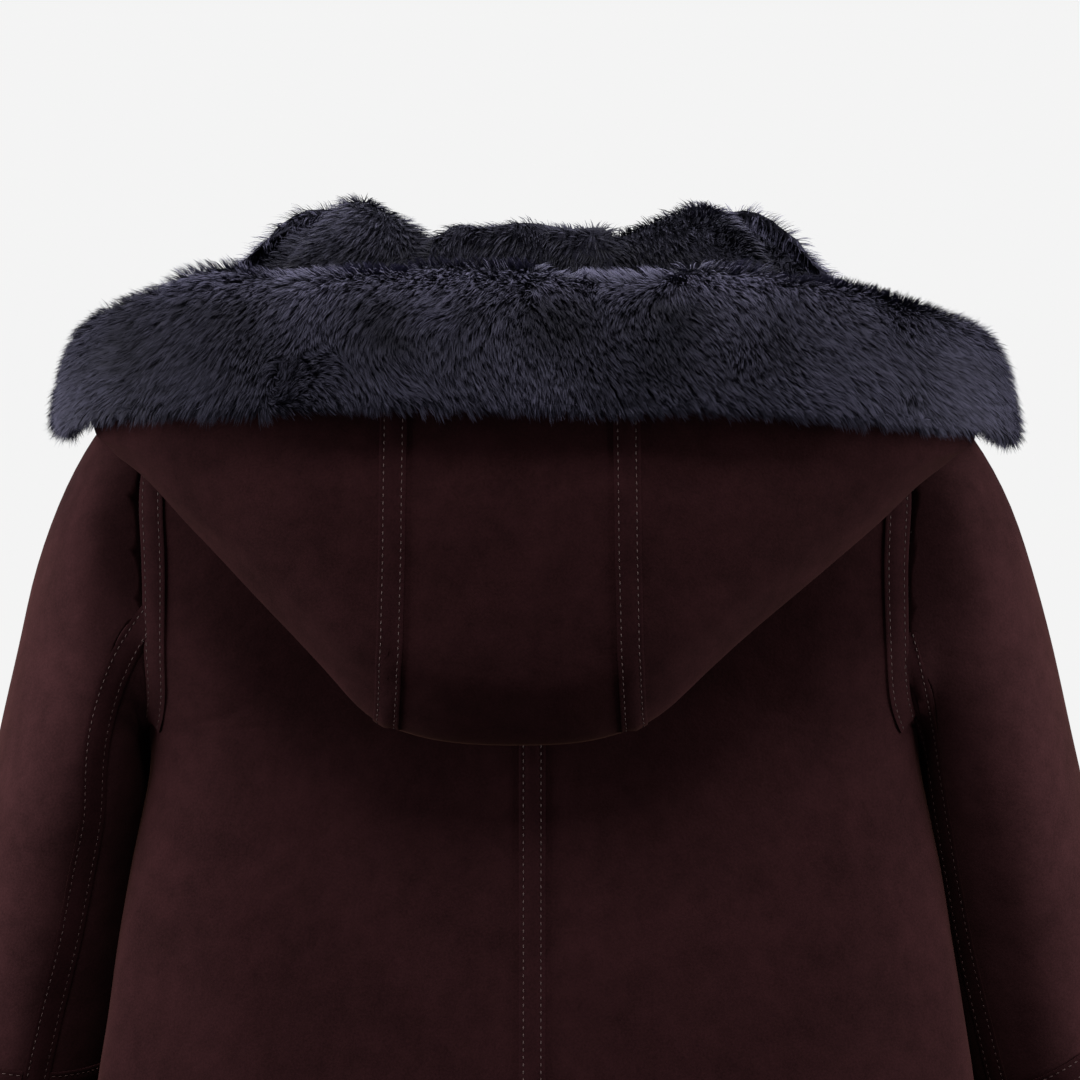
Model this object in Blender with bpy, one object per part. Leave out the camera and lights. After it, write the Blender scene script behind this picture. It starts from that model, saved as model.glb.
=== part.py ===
"""A hooded faux shearling coat, filled out as if worn, with the hood folded down over the back.

Every cloth piece is a closed wall: a grid of outer points taken from one of three surfaces (the body,
a sleeve, the hood) and the same grid moved inwards by the thickness of the suede and its pile.
The wearer faces -Y, +X is the wearer's left, +Z is up, and the origin is the middle of the neck,
level with the points where the shoulder seams meet the neckline. Tables and sizes are in millimetres.
"""

import math

import bmesh
import bpy
import numpy as np

MM = 0.001                # metres in a millimetre

# ---------------------------------------------------------------- cloth and seams
SUEDE = 2.0               # the suede face of the bonded cloth
BODY_PILE = 6.0           # the pile inside body and sleeves, flattened by wear
HOOD_PILE = 9.0           # the pile inside the hood, which stands free
BODY_WALL = SUEDE + BODY_PILE
HOOD_WALL = SUEDE + HOOD_PILE
SEAM_GAP = 0.3            # two pieces at a seam
STRAP_WIDTH = 14.5        # the suede strap that covers a seam
STRAP_THICK = 1.2
STRAP_GAP = 0.5           # a strap to the cloth under it
ARMHOLE_STRAP_GAP = 0.9   # where the cloth turns more sharply
HALF_STRAP = STRAP_WIDTH / 2

# ---------------------------------------------------------------- body
# One row for each ring round the body, from the hem to the neck. z is at the side; back and front are y at
# the middle of the back and of the front; the front of a ring lies front_drop lower and its back back_drop
# lower. press is how far the arm pushes the side in, flute the depth of the hem's waves, and the powers
# square the ring: 2 is an ellipse.
BODY_COLUMNS = ("z", "half_width", "back", "front", "side_y", "front_drop", "back_drop",
                "press", "flute", "back_power", "front_power")
BODY_ROWS = np.array([
    (-800, 297, 150, -170, 0,  0,  0,  0, 6.5, 2.45, 2.30),
    (-680, 279, 139, -162, 1,  0,  0,  0, 4.0, 2.50, 2.30),
    (-560, 262, 128, -154, 2,  0,  0,  8, 2.0, 2.55, 2.30),
    (-430, 250, 117, -146, 4,  0,  0, 28, 0.6, 2.60, 2.25),
    (-330, 234, 109, -140, 5,  0,  0, 29, 0.0, 2.70, 2.25),
    (-280, 223, 106, -136, 6,  2,  0, 26, 0.0, 2.80, 2.20),
    (-245, 216, 104, -132, 6,  5,  0, 11, 0.0, 3.20, 2.20),
    (-200, 228, 101, -127, 6, 16,  0,  0, 0.0, 3.90, 2.20),
    (-150, 233,  97, -119, 6, 32,  0,  0, 0.0, 4.00, 2.20),
    (-100, 230,  90, -108, 6, 47,  2,  0, 0.0, 3.80, 2.20),
    ( -52, 203,  78,  -92, 5, 60,  5,  0, 0.0, 2.40, 2.15),
    ( -36, 165,  74,  -85, 4, 64,  8,  0, 0.0, 2.25, 2.10),
    ( -19, 122,  69,  -78, 3, 68, 10,  0, 0.0, 2.10, 2.05),
    (   0,  76,  62,  -70, 0, 72, 12,  0, 0.0, 2.00, 2.00),
], float)
RIGHT_WIDER = 4.0         # the coat hangs this much further out on the right, but for its neck and shoulders
HEM_WAVES = ((5, 0.35, 0.6), (9, -0.9, 0.4))   # of the flute: waves round the ring, phase, share
UNDERARM_ROW = 6
SHOULDER_ROW = 10
NECK_ROW = 13
LOWER_ROWS = (0, 0.6, 1.2, 1.8, 2.4, 3, 3.5, 4, 4.5, 5, 5.5)
PRESS_Y = -20             # the arm presses hardest here
PRESS_BACK = 45           # and fades towards the back
PRESS_FRONT = 85          # and the front over these lengths
ARMHOLE_BACK = {1: 33.0, -1: 39.0}   # degrees from the side seam to the armhole's back edge, by side
ARMHOLE_FRONT = 45.0                 # and to its front edge
ARMHOLE_ROUND = 0.75
ARMHOLE_STEP = 18         # degrees round the armhole between two rows
ARMHOLE_STRAP_END = 153   # the strap stops this many degrees from the shoulder, under the arm
BODY_COLUMNS_ACROSS = 6   # and those beside the seams

# ---------------------------------------------------------------- sleeves
# One row for each ring down a sleeve, on the left side. half_width is across, half_depth front to back;
# tilt raises the ring's outer side above square to the arm; twist turns the cloth towards the body.
SLEEVE_COLUMNS = ("x", "y", "z", "half_width", "half_depth", "tilt_left", "tilt_right",
                  "twist_left", "twist_right")
SLEEVE_ROWS = np.array([
    (253,  -16, -268, 48, 78,  4,  4, -1,  8),
    (269,  -28, -345, 50, 74, -2,  8, -2,  8),
    (285,  -44, -425, 52, 70, -6, 18, -8,  0),
    (308,  -72, -530, 46, 64, -2,  8,  0,  4),
    (325, -108, -645, 44, 60,  0,  0,  0,  0),
], float)
CAP_STEPS = (0, 0.12, 0.27, 0.45, 0.63, 0.82)   # from the armhole to the first ring
ARM_STEPS = (1, 1.5, 2, 2.5)                    # from there to just above the elbow seam
FOREARM_STEPS = (3.5, 4, 4.5, 5)
ELBOW = 3                 # the ring of the elbow seam
STRAP_OVER_ELBOW = (2.93, ELBOW, 3.07)
CUFF = 5
SLEEVE_SEAM = {1: 108, -1: 126}      # degrees round the armhole to a sleeve's lengthwise seams, by side
# The way the cloth leaves the armhole, at the shoulder and under the arm: out, back (by the sine of the
# turn), down. And how far it keeps that way, as a share of the span, at the same places.
LEAVES = ((0.96, 0.16, -0.24), (1.20, -0.05, -0.42))
LEAVES_BY = (0.85, 0.80)
CAP_WALL = 0.28           # the share of its thickness that the wall has left in the armhole's seam
SLEEVE_STRAP_START = 0.5  # how far from the armhole to the next row of the cloth the back strap begins
# Its first lines stand this much further off the cloth, which curves sharply there.
SLEEVE_STRAP_LIFTS = (0.4, 0.4, 0.5, 0.9, 0.9, 0.5)
ELBOW_STRAP_CLEAR = 0.6   # between the elbow strap's ends and the lengthwise strap
# Soft troughs in the sleeves: where along and round, how deep, how long, how wide, how slanted.
SLEEVE_FOLDS = (
    {"side": 1, "along": 0.72, "round": 62, "deep": 4.5, "long": 0.22, "wide": 24, "slant": -60},
    {"side": 1, "along": 2.75, "round": 250, "deep": 4.0, "long": 0.16, "wide": 45, "slant": 20},
    {"side": -1, "along": 0.75, "round": 75, "deep": 4.0, "long": 0.25, "wide": 22, "slant": 40},
    {"side": -1, "along": 2.60, "round": 245, "deep": 4.5, "long": 0.18, "wide": 45, "slant": -15},
    {"side": -1, "along": 3.10, "round": 262, "deep": 3.0, "long": 0.14, "wide": 38, "slant": 25},
    {"side": 1, "along": 3.20, "round": 258, "deep": 3.0, "long": 0.14, "wide": 40, "slant": -25},
)

# ---------------------------------------------------------------- hood
# One row for each station of the hood's left half, from the middle of the back to the front of the neck.
# neck is the angle of its point on the neckline; the others are x, y, z of the suede side's points:
# ridge, where it folds over; inner, against the back; bottom of the pouch; low, where the outer wall turns
# up; edge, level with the cuff's lower edge; fold, at the opening; hang, the lower edge of the fur cuff.
HOOD_STATIONS = (
    # at, neck, ridge, inner, bottom, low, edge, fold, hang
    (0.00, 0, (0, 75, 24), (0, 101, -110), (0, 128, -246), (0, 166, -204), (0, 176, -84), (0, 168, -8),
     (0, 180, -78)),
    (0.12, 24, (47, 71, 15), (50, 100, -106), (66, 126, -240), (64, 164, -198), (62, 175, -84), (62, 167, -7),
     (63, 179, -77)),
    (0.25, 44, (66, 60, 27), (92, 94, -92), (114, 121, -198), (122, 157, -166), (124, 168, -84), (120, 160, -8),
     (125, 172, -77)),
    (0.38, 61, (84, 42, 36), (128, 82, -68), (164, 112, -150), (172, 142, -130), (180, 150, -84), (174, 143, -12),
     (183, 154, -80)),
    (0.50, 78, (93, 20, 40), (150, 64, -44), (202, 96, -112), (212, 116, -104), (220, 122, -82), (217, 114, -25),
     (225, 125, -83)),
    (0.60, 94, (97, 2, 40), (152, 40, -26), (216, 70, -84), (230, 84, -84), (238, 84, -74), (238, 74, -36),
     (245, 88, -88)),
    (0.70, 108, (96, -12, 38), (134, 10, -2), (176, 20, -22), (194, 24, -24), (208, 24, -20), (222, 20, -20),
     (250, 18, -84)),
    (0.80, 124, (90, -27, 34), (108, -22, 22), (130, -20, 12), (146, -20, 7), (160, -20, 3), (172, -22, -5),
     (212, -66, -72)),
    (0.90, 146, (70, -45, 18), (79, -49, 25), (87, -53, 29), (93, -55, 31), (99, -57, 33), (105, -60, 34),
     (144, -112, -70)),
    (1.00, 168, (17, -80, -60), (19, -86, -56), (21, -90, -53), (23, -94, -51), (25, -98, -49), (27, -102, -47),
     (62, -128, -126)),
)
HOOD_SEAM = 0.12          # the station of the two lengthwise seams
HOOD_SHIFT = (0, 5, 9, 13, 13, 13, 13)   # the folded hood hangs this far to the left, from neck to fold
HOOD_SHIFT_ENDS = 0.6     # and less and less until this station
HOOD_LEAN = 0.012         # the right side lies this much lower, by its distance from the middle
HOOD_WIDER = ((0.2, 0.5), (0.6, 0.8))   # the right rim lies further out: the stations it grows and fades over
HOOD_SIDE_STATIONS = (0.12, 0.16, 0.21, 0.26, 0.32, 0.38, 0.44, 0.50, 0.54, 0.58, 0.62, 0.66, 0.70, 0.74,
                      0.78, 0.82, 0.86, 0.90, 0.95, 1.00)
HOOD_CENTRE_STATIONS = (-0.08, -0.04, 0, 0.04, 0.08)
HOOD_THIN = 0.4           # the share of its thickness that the hood has left at the front
HOOD_THINS = (0.55, 0.75) # the stations over which it loses the rest
HOOD_STEPS = (0.01, 0.5, 1, 1.3, 1.6, 2, 2.4, 2.7, 3, 3.35, 3.7, 4, 4.5, 5, 6)
HOOD_STRAP_STEPS = (2.7, 3, 3.35, 3.7, 4, 4.5, 5, 5.25)
# The fur cuff's section: how far down from the fold, and how far out from the cloth it lies on.
CUFF_INSIDE = ((0.09, 2.4), (0.36, 2.4), (0.68, 2.6), (0.93, 3.4))
CUFF_OUTSIDE = ((1.02, 9.0), (0.94, 15.5), (0.70, 19.0), (0.38, 20.0), (0.10, 17.5))
CUFF_TOP = 11.0           # the fur stands this far above the fold
CUFF_SHOULDERS = (0.8, 0.55)   # of that height, on the outer and on the inner side of the top
CUFF_TOP_OUT = 9.0        # the outer shoulder stands this far out
CUFF_TOP_IN = 0.85        # and the inner one this share of the hood's wall in
CUFF_RIPPLES = ((6, 0.4, 1.2), (11, 1.9, 0.8), (17, 4.0, 0.5))   # waves a half, phase, depth

COAT = "faux_shearling_coat"


# ---------------------------------------------------------------- curves and surfaces
def curve(knots, values):
    """A smooth curve through values at knots, as a function. Past its ends it runs straight on."""
    knots = np.asarray(knots, float)
    values = np.asarray(values, float)
    steps = np.diff(knots)
    rates = np.diff(values, axis=0) / (steps[:, None] if values.ndim > 1 else steps)
    slopes = np.empty_like(values)
    slopes[0] = rates[0]
    slopes[-1] = rates[-1]
    for i in range(1, len(knots) - 1):
        share = steps[i - 1] / (steps[i - 1] + steps[i])
        slopes[i] = rates[i - 1] * (1 - share) + rates[i] * share

    def read(at):
        i = min(max(int(np.searchsorted(knots, at, side="right")) - 1, 0), len(steps) - 1)
        h = steps[i]
        s = (at - knots[i]) / h
        if s < 0:
            return values[0] + slopes[0] * s * h
        if s > 1:
            return values[-1] + slopes[-1] * (s - 1) * h
        return ((2 * s**3 - 3 * s**2 + 1) * values[i] + (s**3 - 2 * s**2 + s) * h * slopes[i]
                + (3 * s**2 - 2 * s**3) * values[i + 1] + (s**3 - s**2) * h * slopes[i + 1])

    return read


def unit(vector):
    return vector / max(math.sqrt(float(vector @ vector)), 1e-9)


def ease(share):
    share = min(max(share, 0.0), 1.0)
    return share * share * (3 - 2 * share)


def both_halves(stations, column):
    """A curve through a column of the left half's points and its mirror image, by station."""
    table = np.array([row[column] for row in HOOD_STATIONS], float)
    mirrored = table[:0:-1] * np.array([-1, 1, 1])
    return curve([-at for at in stations[:0:-1]] + stations, np.vstack([mirrored, table]))


STATIONS = [row[0] for row in HOOD_STATIONS]
NECK_CURVE = curve(STATIONS, [row[1] for row in HOOD_STATIONS])
HOOD_CURVES = [both_halves(STATIONS, column) for column in range(2, 9)]
BODY_CURVE = curve(range(len(BODY_ROWS)), BODY_ROWS)
SLEEVE_CURVE = curve(range(1, 6), SLEEVE_ROWS)


def body_point(row, angle):
    """A point of the coat's outer surface: row counts up the table, angle runs from the middle of the
    back (0) over the left side (90) to the middle of the front (180); negative on the right."""
    ring = dict(zip(BODY_COLUMNS, BODY_CURVE(row)))
    c = math.cos(math.radians(angle))
    s = math.sin(math.radians(angle))
    at_back = c >= 0
    if s < 0:
        ring["half_width"] += RIGHT_WIDER * (1 - ease((row - UNDERARM_ROW + 1) / 2))
    power = 2 / (ring["back_power"] if at_back else ring["front_power"])
    depth = (ring["back"] if at_back else ring["front"]) - ring["side_y"]
    x = ring["half_width"] * math.copysign(abs(s) ** power, s)
    y = ring["side_y"] + depth * abs(c) ** power
    z = ring["z"] - (ring["back_drop"] if at_back else ring["front_drop"]) * c * c
    fade = PRESS_BACK if y > PRESS_Y else PRESS_FRONT
    x -= math.copysign(ring["press"] * math.exp(-((y - PRESS_Y) / fade) ** 2) * abs(s) ** 4, s)
    wave = sum(share * math.cos(n * math.radians(angle) + phase) for n, phase, share in HEM_WAVES)
    out = unit(np.array([s * ring["back"], c * ring["half_width"], 0.0]))
    return np.array([x, y, z]) + out * ring["flute"] * wave


def armhole(side, turn):
    """(row, angle) of an armhole's edge, on the left side's numbers: turn is 0 at the shoulder, 90 at the
    back, 180 under the arm."""
    rad = math.radians(turn)
    row = UNDERARM_ROW + (SHOULDER_ROW - UNDERARM_ROW) * (1 + math.cos(rad)) / 2
    across = math.sin(rad)
    reach = ARMHOLE_BACK[side] if across >= 0 else -ARMHOLE_FRONT
    return row, 90 - reach * abs(across) ** ARMHOLE_ROUND


def sleeve_ring(side, along, turn):
    """A point of a sleeve below the armhole, on the left side's numbers."""
    at = dict(zip(SLEEVE_COLUMNS, SLEEVE_CURVE(along)))
    step = 0.02
    ahead = SLEEVE_CURVE(along + step)[:3]
    behind = SLEEVE_CURVE(along - step)[:3]
    axis = unit(ahead - behind)
    out = unit(np.array([1.0, 0, 0]) - axis[0] * axis)
    back = np.cross(axis, out)
    back *= math.copysign(1, back[1])
    tilt = math.radians(at["tilt_left"] if side > 0 else at["tilt_right"])
    out = out * math.cos(tilt) - axis * math.sin(tilt)
    phi = math.radians(turn + (at["twist_left"] if side > 0 else at["twist_right"]))
    centre = np.array([at["x"] + (RIGHT_WIDER if side < 0 else 0), at["y"], at["z"]])
    return centre + out * math.cos(phi) * at["half_width"] + back * math.sin(phi) * at["half_depth"]


def sleeve_smooth_point(side, along, turn):
    if along >= 1:
        return sleeve_ring(side, along, turn)
    row, angle = armhole(side, turn)
    start = body_point(row, side * angle) * np.array([side, 1, 1])
    end = sleeve_ring(side, 1, turn)
    rad = math.radians(turn)
    under = (1 - math.cos(rad)) / 2
    leave = np.array(LEAVES[0]) * (1 - under) + np.array(LEAVES[1]) * under
    leave = unit(leave * np.array([1, math.sin(rad), 1]))
    arrive = unit(sleeve_ring(side, 1.02, turn) - end)
    span = np.linalg.norm(end - start)
    leave_by = span * (LEAVES_BY[0] * (1 - under) + LEAVES_BY[1] * under)
    s = along
    return ((2 * s**3 - 3 * s**2 + 1) * start + (s**3 - 2 * s**2 + s) * leave_by * leave
            + (3 * s**2 - 2 * s**3) * end + (s**3 - s**2) * span * arrive)


def sleeve_point(side, along, turn):
    """A point of a sleeve's outer surface: along is 0 at the armhole, 1 to 5 at the table's rings."""
    point = sleeve_smooth_point(side, along, turn)
    deep = 0.0
    for fold in SLEEVE_FOLDS:
        if fold["side"] != side:
            continue
        a = (along - fold["along"]) / fold["long"]
        away = (turn - fold["round"] - fold["slant"] * (along - fold["along"]) + 180) % 360 - 180
        deep += fold["deep"] * math.exp(-a * a - (away / fold["wide"]) ** 2)
    if deep > 0.05:
        middle = sum(sleeve_smooth_point(side, along, turn + k) for k in (0, 90, 180, 270)) / 4
        point = point + unit(middle - point) * deep
    return point * np.array([side, 1, 1])


def hood_controls(at):
    """The eight points of the hood's section at a station; negative stations are on the right."""
    side = math.copysign(1, at)
    at = abs(at)
    points = [body_point(NECK_ROW, side * float(NECK_CURVE(at)))]
    for line in HOOD_CURVES:
        point = line(at) * np.array([side, 1, 1])
        point[2] += HOOD_LEAN * point[0]
        points.append(point)
    if side < 0:
        grown, faded = (ease((at - start) / (end - start)) for start, end in HOOD_WIDER)
        for rim in points[5:]:
            rim[0] -= RIGHT_WIDER * grown * (1 - faded)
    fade = 1 - ease(at / HOOD_SHIFT_ENDS)
    for i, shift in enumerate(HOOD_SHIFT):
        points[i][0] += shift * fade
    points[7][0] += HOOD_SHIFT[-1] * fade
    return points


def hood_point(at, down):
    """A point of the hood's suede side: down is 0 at the neckline, 3 at the pouch's bottom, 6 at the fold."""
    controls = np.array(hood_controls(at)[:7])
    knots = np.concatenate([[0], np.cumsum(np.sqrt(np.linalg.norm(np.diff(controls, axis=0), axis=1)))])
    return curve(knots, controls)(float(np.interp(down, range(7), knots)))


def normal_of(surface, a, b, step_a, step_b):
    """The unit normal where a and b cross, from short steps either way."""
    along = surface(a + step_a, b) - surface(a - step_a, b)
    across = surface(a, b + step_b) - surface(a, b - step_b)
    return unit(np.cross(along, across))


# ---------------------------------------------------------------- solids
def coat_material(name, colour, roughness):
    made = bpy.data.materials.new(name)
    made.use_nodes = True
    shader = made.node_tree.nodes["Principled BSDF"]
    shader.inputs["Base Color"].default_value = (*colour, 1)
    shader.inputs["Roughness"].default_value = roughness
    shader.inputs["Metallic"].default_value = 0.0
    return made


def solid(name, sections, material, closed_round):
    """One closed solid through sections of equal count, capped at both ends. A wall's section is its
    outer points and then its inner ones, back again, and the faces along its seams are split from outer
    to inner points the same way on every piece, so that a twisted seam fits on both sides."""
    count = len(sections[0])
    half = count // 2
    shape = bmesh.new()
    rings = [[shape.verts.new(point * MM) for point in section] for section in sections]
    for near, far in zip(rings, rings[1:]):
        for i in range(count):
            j = (i + 1) % count
            if closed_round or i not in (half - 1, count - 1):
                shape.faces.new((near[j], far[j], far[i], near[i]))
            elif i == half - 1:
                shape.faces.new((near[i], near[j], far[j]))
                shape.faces.new((near[i], far[j], far[i]))
            else:
                shape.faces.new((near[i], near[j], far[i]))
                shape.faces.new((near[j], far[j], far[i]))
    for ring in (rings[0], rings[-1]):
        if closed_round:
            shape.faces.new(ring)
            continue
        for i in range(half - 1):
            shape.faces.new((ring[i], ring[i + 1], ring[count - 2 - i]))
            shape.faces.new((ring[i], ring[count - 2 - i], ring[count - 1 - i]))
    bmesh.ops.recalc_face_normals(shape, faces=shape.faces)
    mesh = bpy.data.meshes.new(name)
    shape.to_mesh(mesh)
    shape.free()
    mesh.materials.append(material)
    mesh.shade_smooth()
    mesh.set_sharp_from_angle(angle=math.radians(50))
    made = bpy.data.objects.new(name, mesh)
    coat.objects.link(made)
    return made


def inset_edges(grid, normals, gap):
    """Draws the grid's four edges in, along the cloth, so that its neighbours at the seams stay apart."""
    moved = grid.copy()
    for rows in (True, False):
        lines = grid if rows else grid.swapaxes(0, 1)
        facing = normals if rows else normals.swapaxes(0, 1)
        target = moved if rows else moved.swapaxes(0, 1)
        for edge, next_in in ((0, 1), (-1, -2)):
            along = np.gradient(lines[edge], axis=0)
            inward = lines[next_in] - lines[edge]
            for i in range(len(along)):
                square = np.cross(facing[edge][i], unit(along[i]))
                square *= math.copysign(1, square @ inward[i])
                target[edge][i] += square * gap
    return moved


def wall(name, grid, normals, thicks, material):
    """A cloth panel: the grid of outer points, drawn in at its seams, and its inner side. It has a
    thickness for each of the grid's lines, because the pile is trimmed where the cloth bends sharply."""
    grid = inset_edges(grid, normals, SEAM_GAP / 2)
    sections = [
        np.concatenate([outer, (outer - out * thick)[::-1]])
        for outer, out, thick in zip(grid, normals, thicks)
    ]
    return solid(name, sections, material, False)


def strap(name, grid, normals, gap=STRAP_GAP):
    """A suede strap on a panel: the panel's own points moved out."""
    sections = [
        np.concatenate([line + out * (gap + STRAP_THICK), (line + out * gap)[::-1]])
        for line, out in zip(grid, normals)
    ]
    return solid(name, sections, suede, False)


# ---------------------------------------------------------------- body panels
def body_normal(row, angle):
    row = min(max(row, 0.02), NECK_ROW - 0.02)
    out = normal_of(body_point, row, angle, 0.02, 0.6)
    away = body_point(row, angle) - np.array([0.0, 0.0, body_point(row, angle)[2] - 60])
    return out * math.copysign(1, out @ away)


def angles_at(row, start, end, distances):
    """The angles on a ring that lie at these distances from start towards end; a negative distance is
    measured back from end, and None shares what is left evenly."""
    tries = np.linspace(start, end, 241)
    points = np.array([body_point(row, a) for a in tries])
    run = np.concatenate([[0], np.cumsum(np.linalg.norm(np.diff(points, axis=0), axis=1))])
    places = [d if d is None or d >= 0 else run[-1] + d for d in distances]
    known = [(i, p) for i, p in enumerate(places) if p is not None]
    places = np.interp(range(len(places)), [i for i, _ in known], [p for _, p in known])
    return np.interp(places, run, tries)


def panel_rows():
    """The rows of every body panel, each with its turn round the armhole where it has one."""
    rows = [(row, None) for row in LOWER_ROWS]
    rows += [(armhole(1, turn)[0], turn) for turn in range(180, -1, -ARMHOLE_STEP)]
    return rows + [(float(row), None) for row in range(SHOULDER_ROW + 1, NECK_ROW + 1)]


def body_panel(name, side, front):
    """A quarter of the coat, from the middle of the back or front to the side seam and armhole."""
    middle = 180.0 if front else 0.0
    distances = [0.0, HALF_STRAP] + [None] * BODY_COLUMNS_ACROSS + [-STRAP_WIDTH, -0.001]
    lines, outs = [], []
    for row, turn in panel_rows():
        edge = 90.0
        if turn is not None:
            edge = armhole(side, -turn if front else turn)[1]
        angles = angles_at(row, middle, edge, distances)
        lines.append([body_point(row, side * a) for a in angles])
        outs.append([body_normal(row, side * a) for a in angles])
    return wall(name, np.array(lines), np.array(outs), [BODY_WALL] * len(lines), suede)


def centre_back_strap():
    lines, outs = [], []
    for row, _ in panel_rows():
        off = angles_at(row, 0.0, 90.0, [0.0, HALF_STRAP])[1]
        lines.append([body_point(row, a) for a in (-off, 0.0, off)])
        outs.append([body_normal(row, a) for a in (-off, 0.0, off)])
    return strap("centre_back_strap", np.array(lines), np.array(outs))


def armhole_strap(name, side):
    """The strap on the body's side of the armhole, from under the arm over the shoulder and down again."""
    lines, outs = [], []
    for turn in range(-ARMHOLE_STRAP_END, ARMHOLE_STRAP_END + 1, ARMHOLE_STEP // 2):
        row, angle = armhole(side, turn)
        edge = body_point(row, angle)
        out = body_normal(row, angle)
        along = body_point(*armhole(side, turn + 1)) - body_point(*armhole(side, turn - 1))
        hole = body_point(UNDERARM_ROW + 2, 90)
        away = np.cross(out, unit(along))
        away *= math.copysign(1, away @ (edge - hole))
        by_row = (body_point(row + 0.02, angle) - edge) / 0.02
        by_angle = (body_point(row, angle + 0.2) - edge) / 0.2
        line, out_line = [], []
        for width in (0.6, HALF_STRAP, STRAP_WIDTH):
            step = np.linalg.lstsq(np.array([by_row, by_angle]).T, away * width, rcond=None)[0]
            place = (row + step[0], angle + step[1])
            line.append(body_point(place[0], side * place[1]))
            out_line.append(body_normal(place[0], side * place[1]))
        lines.append(line)
        outs.append(out_line)
    return strap(name, np.array(lines), np.array(outs), ARMHOLE_STRAP_GAP)


# ---------------------------------------------------------------- sleeve panels
def sleeve_normal(side, along, turn):
    """Out of the sleeve's suede side."""
    along = min(max(along, 0.015), CUFF - 0.02)
    return side * normal_of(lambda a, b: sleeve_point(side, a, b), along, turn, 0.012, 1.5)


def beside_seam(side, along, distance):
    """The turn that lies this far from the back seam; positive towards the body."""
    step = 3.0
    here = sleeve_point(side, along, SLEEVE_SEAM[side])
    per_degree = np.linalg.norm(sleeve_point(side, along, SLEEVE_SEAM[side] + step) - here) / step
    return SLEEVE_SEAM[side] + distance / per_degree


def elbow_step(side, turn):
    """How far along the sleeve half a strap's width is, at the elbow seam."""
    step = 0.05
    rate = np.linalg.norm(sleeve_point(side, ELBOW + step, turn) - sleeve_point(side, ELBOW - step, turn))
    return HALF_STRAP / (rate / (2 * step))


def sleeve_panel(name, side, under, forearm):
    """Half of a sleeve above or below the elbow seam: the top half, or the half next to the body."""
    seam = SLEEVE_SEAM[side]
    outer_turns = list(range(-seam, seam, ARMHOLE_STEP))
    under_turns = list(range(seam + ARMHOLE_STEP, 360 - seam + 1, ARMHOLE_STEP))
    steps = FOREARM_STEPS if forearm else CAP_STEPS + ARM_STEPS
    lines, outs, thicks = [], [], []

    def add_line(place_of):
        near = place_of(seam)
        if under:
            turns = [seam, beside_seam(side, near, HALF_STRAP)] + under_turns
        else:
            turns = outer_turns + [beside_seam(side, near, -HALF_STRAP), seam]
        lines.append([sleeve_point(side, place_of(t), t) for t in turns])
        outs.append([sleeve_normal(side, place_of(t), t) for t in turns])
        thicks.append(BODY_WALL * (CAP_WALL + (1 - CAP_WALL) * ease(near)))

    if forearm:
        add_line(lambda t: float(ELBOW))
        add_line(lambda t: ELBOW + elbow_step(side, t))
    for step in steps:
        add_line(lambda t, step=step: float(step))
    if not forearm:
        add_line(lambda t: ELBOW - elbow_step(side, t))
        add_line(lambda t: float(ELBOW))
    return wall(name, np.array(lines), np.array(outs), thicks, suede)


def sleeve_strap(name, side):
    """The strap down a sleeve's back seam, from the armhole to the cuff."""
    steps = CAP_STEPS + ARM_STEPS + STRAP_OVER_ELBOW + FOREARM_STEPS
    lines, outs = [], []
    for step in steps:
        turns = [beside_seam(side, step, d) for d in (-HALF_STRAP, 0.0, HALF_STRAP)]
        lines.append([sleeve_point(side, step, t) for t in turns])
        outs.append([sleeve_normal(side, step, t) for t in turns])
    grid, normals = np.array(lines), np.array(outs)
    grid[0] += (grid[1] - grid[0]) * SLEEVE_STRAP_START
    for line, lift in enumerate(SLEEVE_STRAP_LIFTS):
        grid[line] += normals[line] * lift
    return strap(name, grid, normals)


def elbow_strap(name, side):
    """The strap round the elbow seam, from one edge of the lengthwise strap to the other."""
    clear = HALF_STRAP + ELBOW_STRAP_CLEAR
    turns = [beside_seam(side, ELBOW, clear)]
    turns += range(SLEEVE_SEAM[side] + ARMHOLE_STEP, 360 + SLEEVE_SEAM[side], ARMHOLE_STEP)
    turns += [360 + beside_seam(side, ELBOW, -clear)]
    lines, outs = [], []
    for turn in turns:
        reach = elbow_step(side, turn)
        places = (ELBOW - reach, float(ELBOW), ELBOW + reach)
        lines.append([sleeve_point(side, p, turn) for p in places])
        outs.append([sleeve_normal(side, p, turn) for p in places])
    return strap(name, np.array(lines), np.array(outs))


# ---------------------------------------------------------------- hood
def hood_normal(at, down):
    """Out of the suede side. Going down the section, that is to the right of the way it runs."""
    down = min(max(down, 0.02), 5.98)
    at = min(max(at, -0.99), 0.99)
    return -normal_of(hood_point, at, down, 0.006, 0.02)


def hood_wall(at):
    """The hood's thickness at a station."""
    return HOOD_WALL * (1 - (1 - HOOD_THIN) * ease((abs(at) - HOOD_THINS[0]) / (HOOD_THINS[1] - HOOD_THINS[0])))


def hood_panel(name, stations):
    grid = np.array([[hood_point(at, down) for down in HOOD_STEPS] for at in stations])
    normals = np.array([[hood_normal(at, down) for down in HOOD_STEPS] for at in stations])
    return wall(name, grid, normals, [hood_wall(at) for at in stations], suede)


def hood_strap(name, side):
    """The strap over a lengthwise seam of the hood, from under the cuff round the pouch's bottom."""
    lines, outs = [], []
    for down in HOOD_STRAP_STEPS:
        here = hood_point(side * HOOD_SEAM, down)
        rate = np.linalg.norm(hood_point(side * (HOOD_SEAM + 0.01), down) - here) / 0.01
        stations = [side * HOOD_SEAM + d / rate for d in (-HALF_STRAP, 0.0, HALF_STRAP)]
        lines.append([hood_point(at, down) for at in stations])
        outs.append([hood_normal(at, down) for at in stations])
    return strap(name, np.array(lines), np.array(outs))


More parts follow.
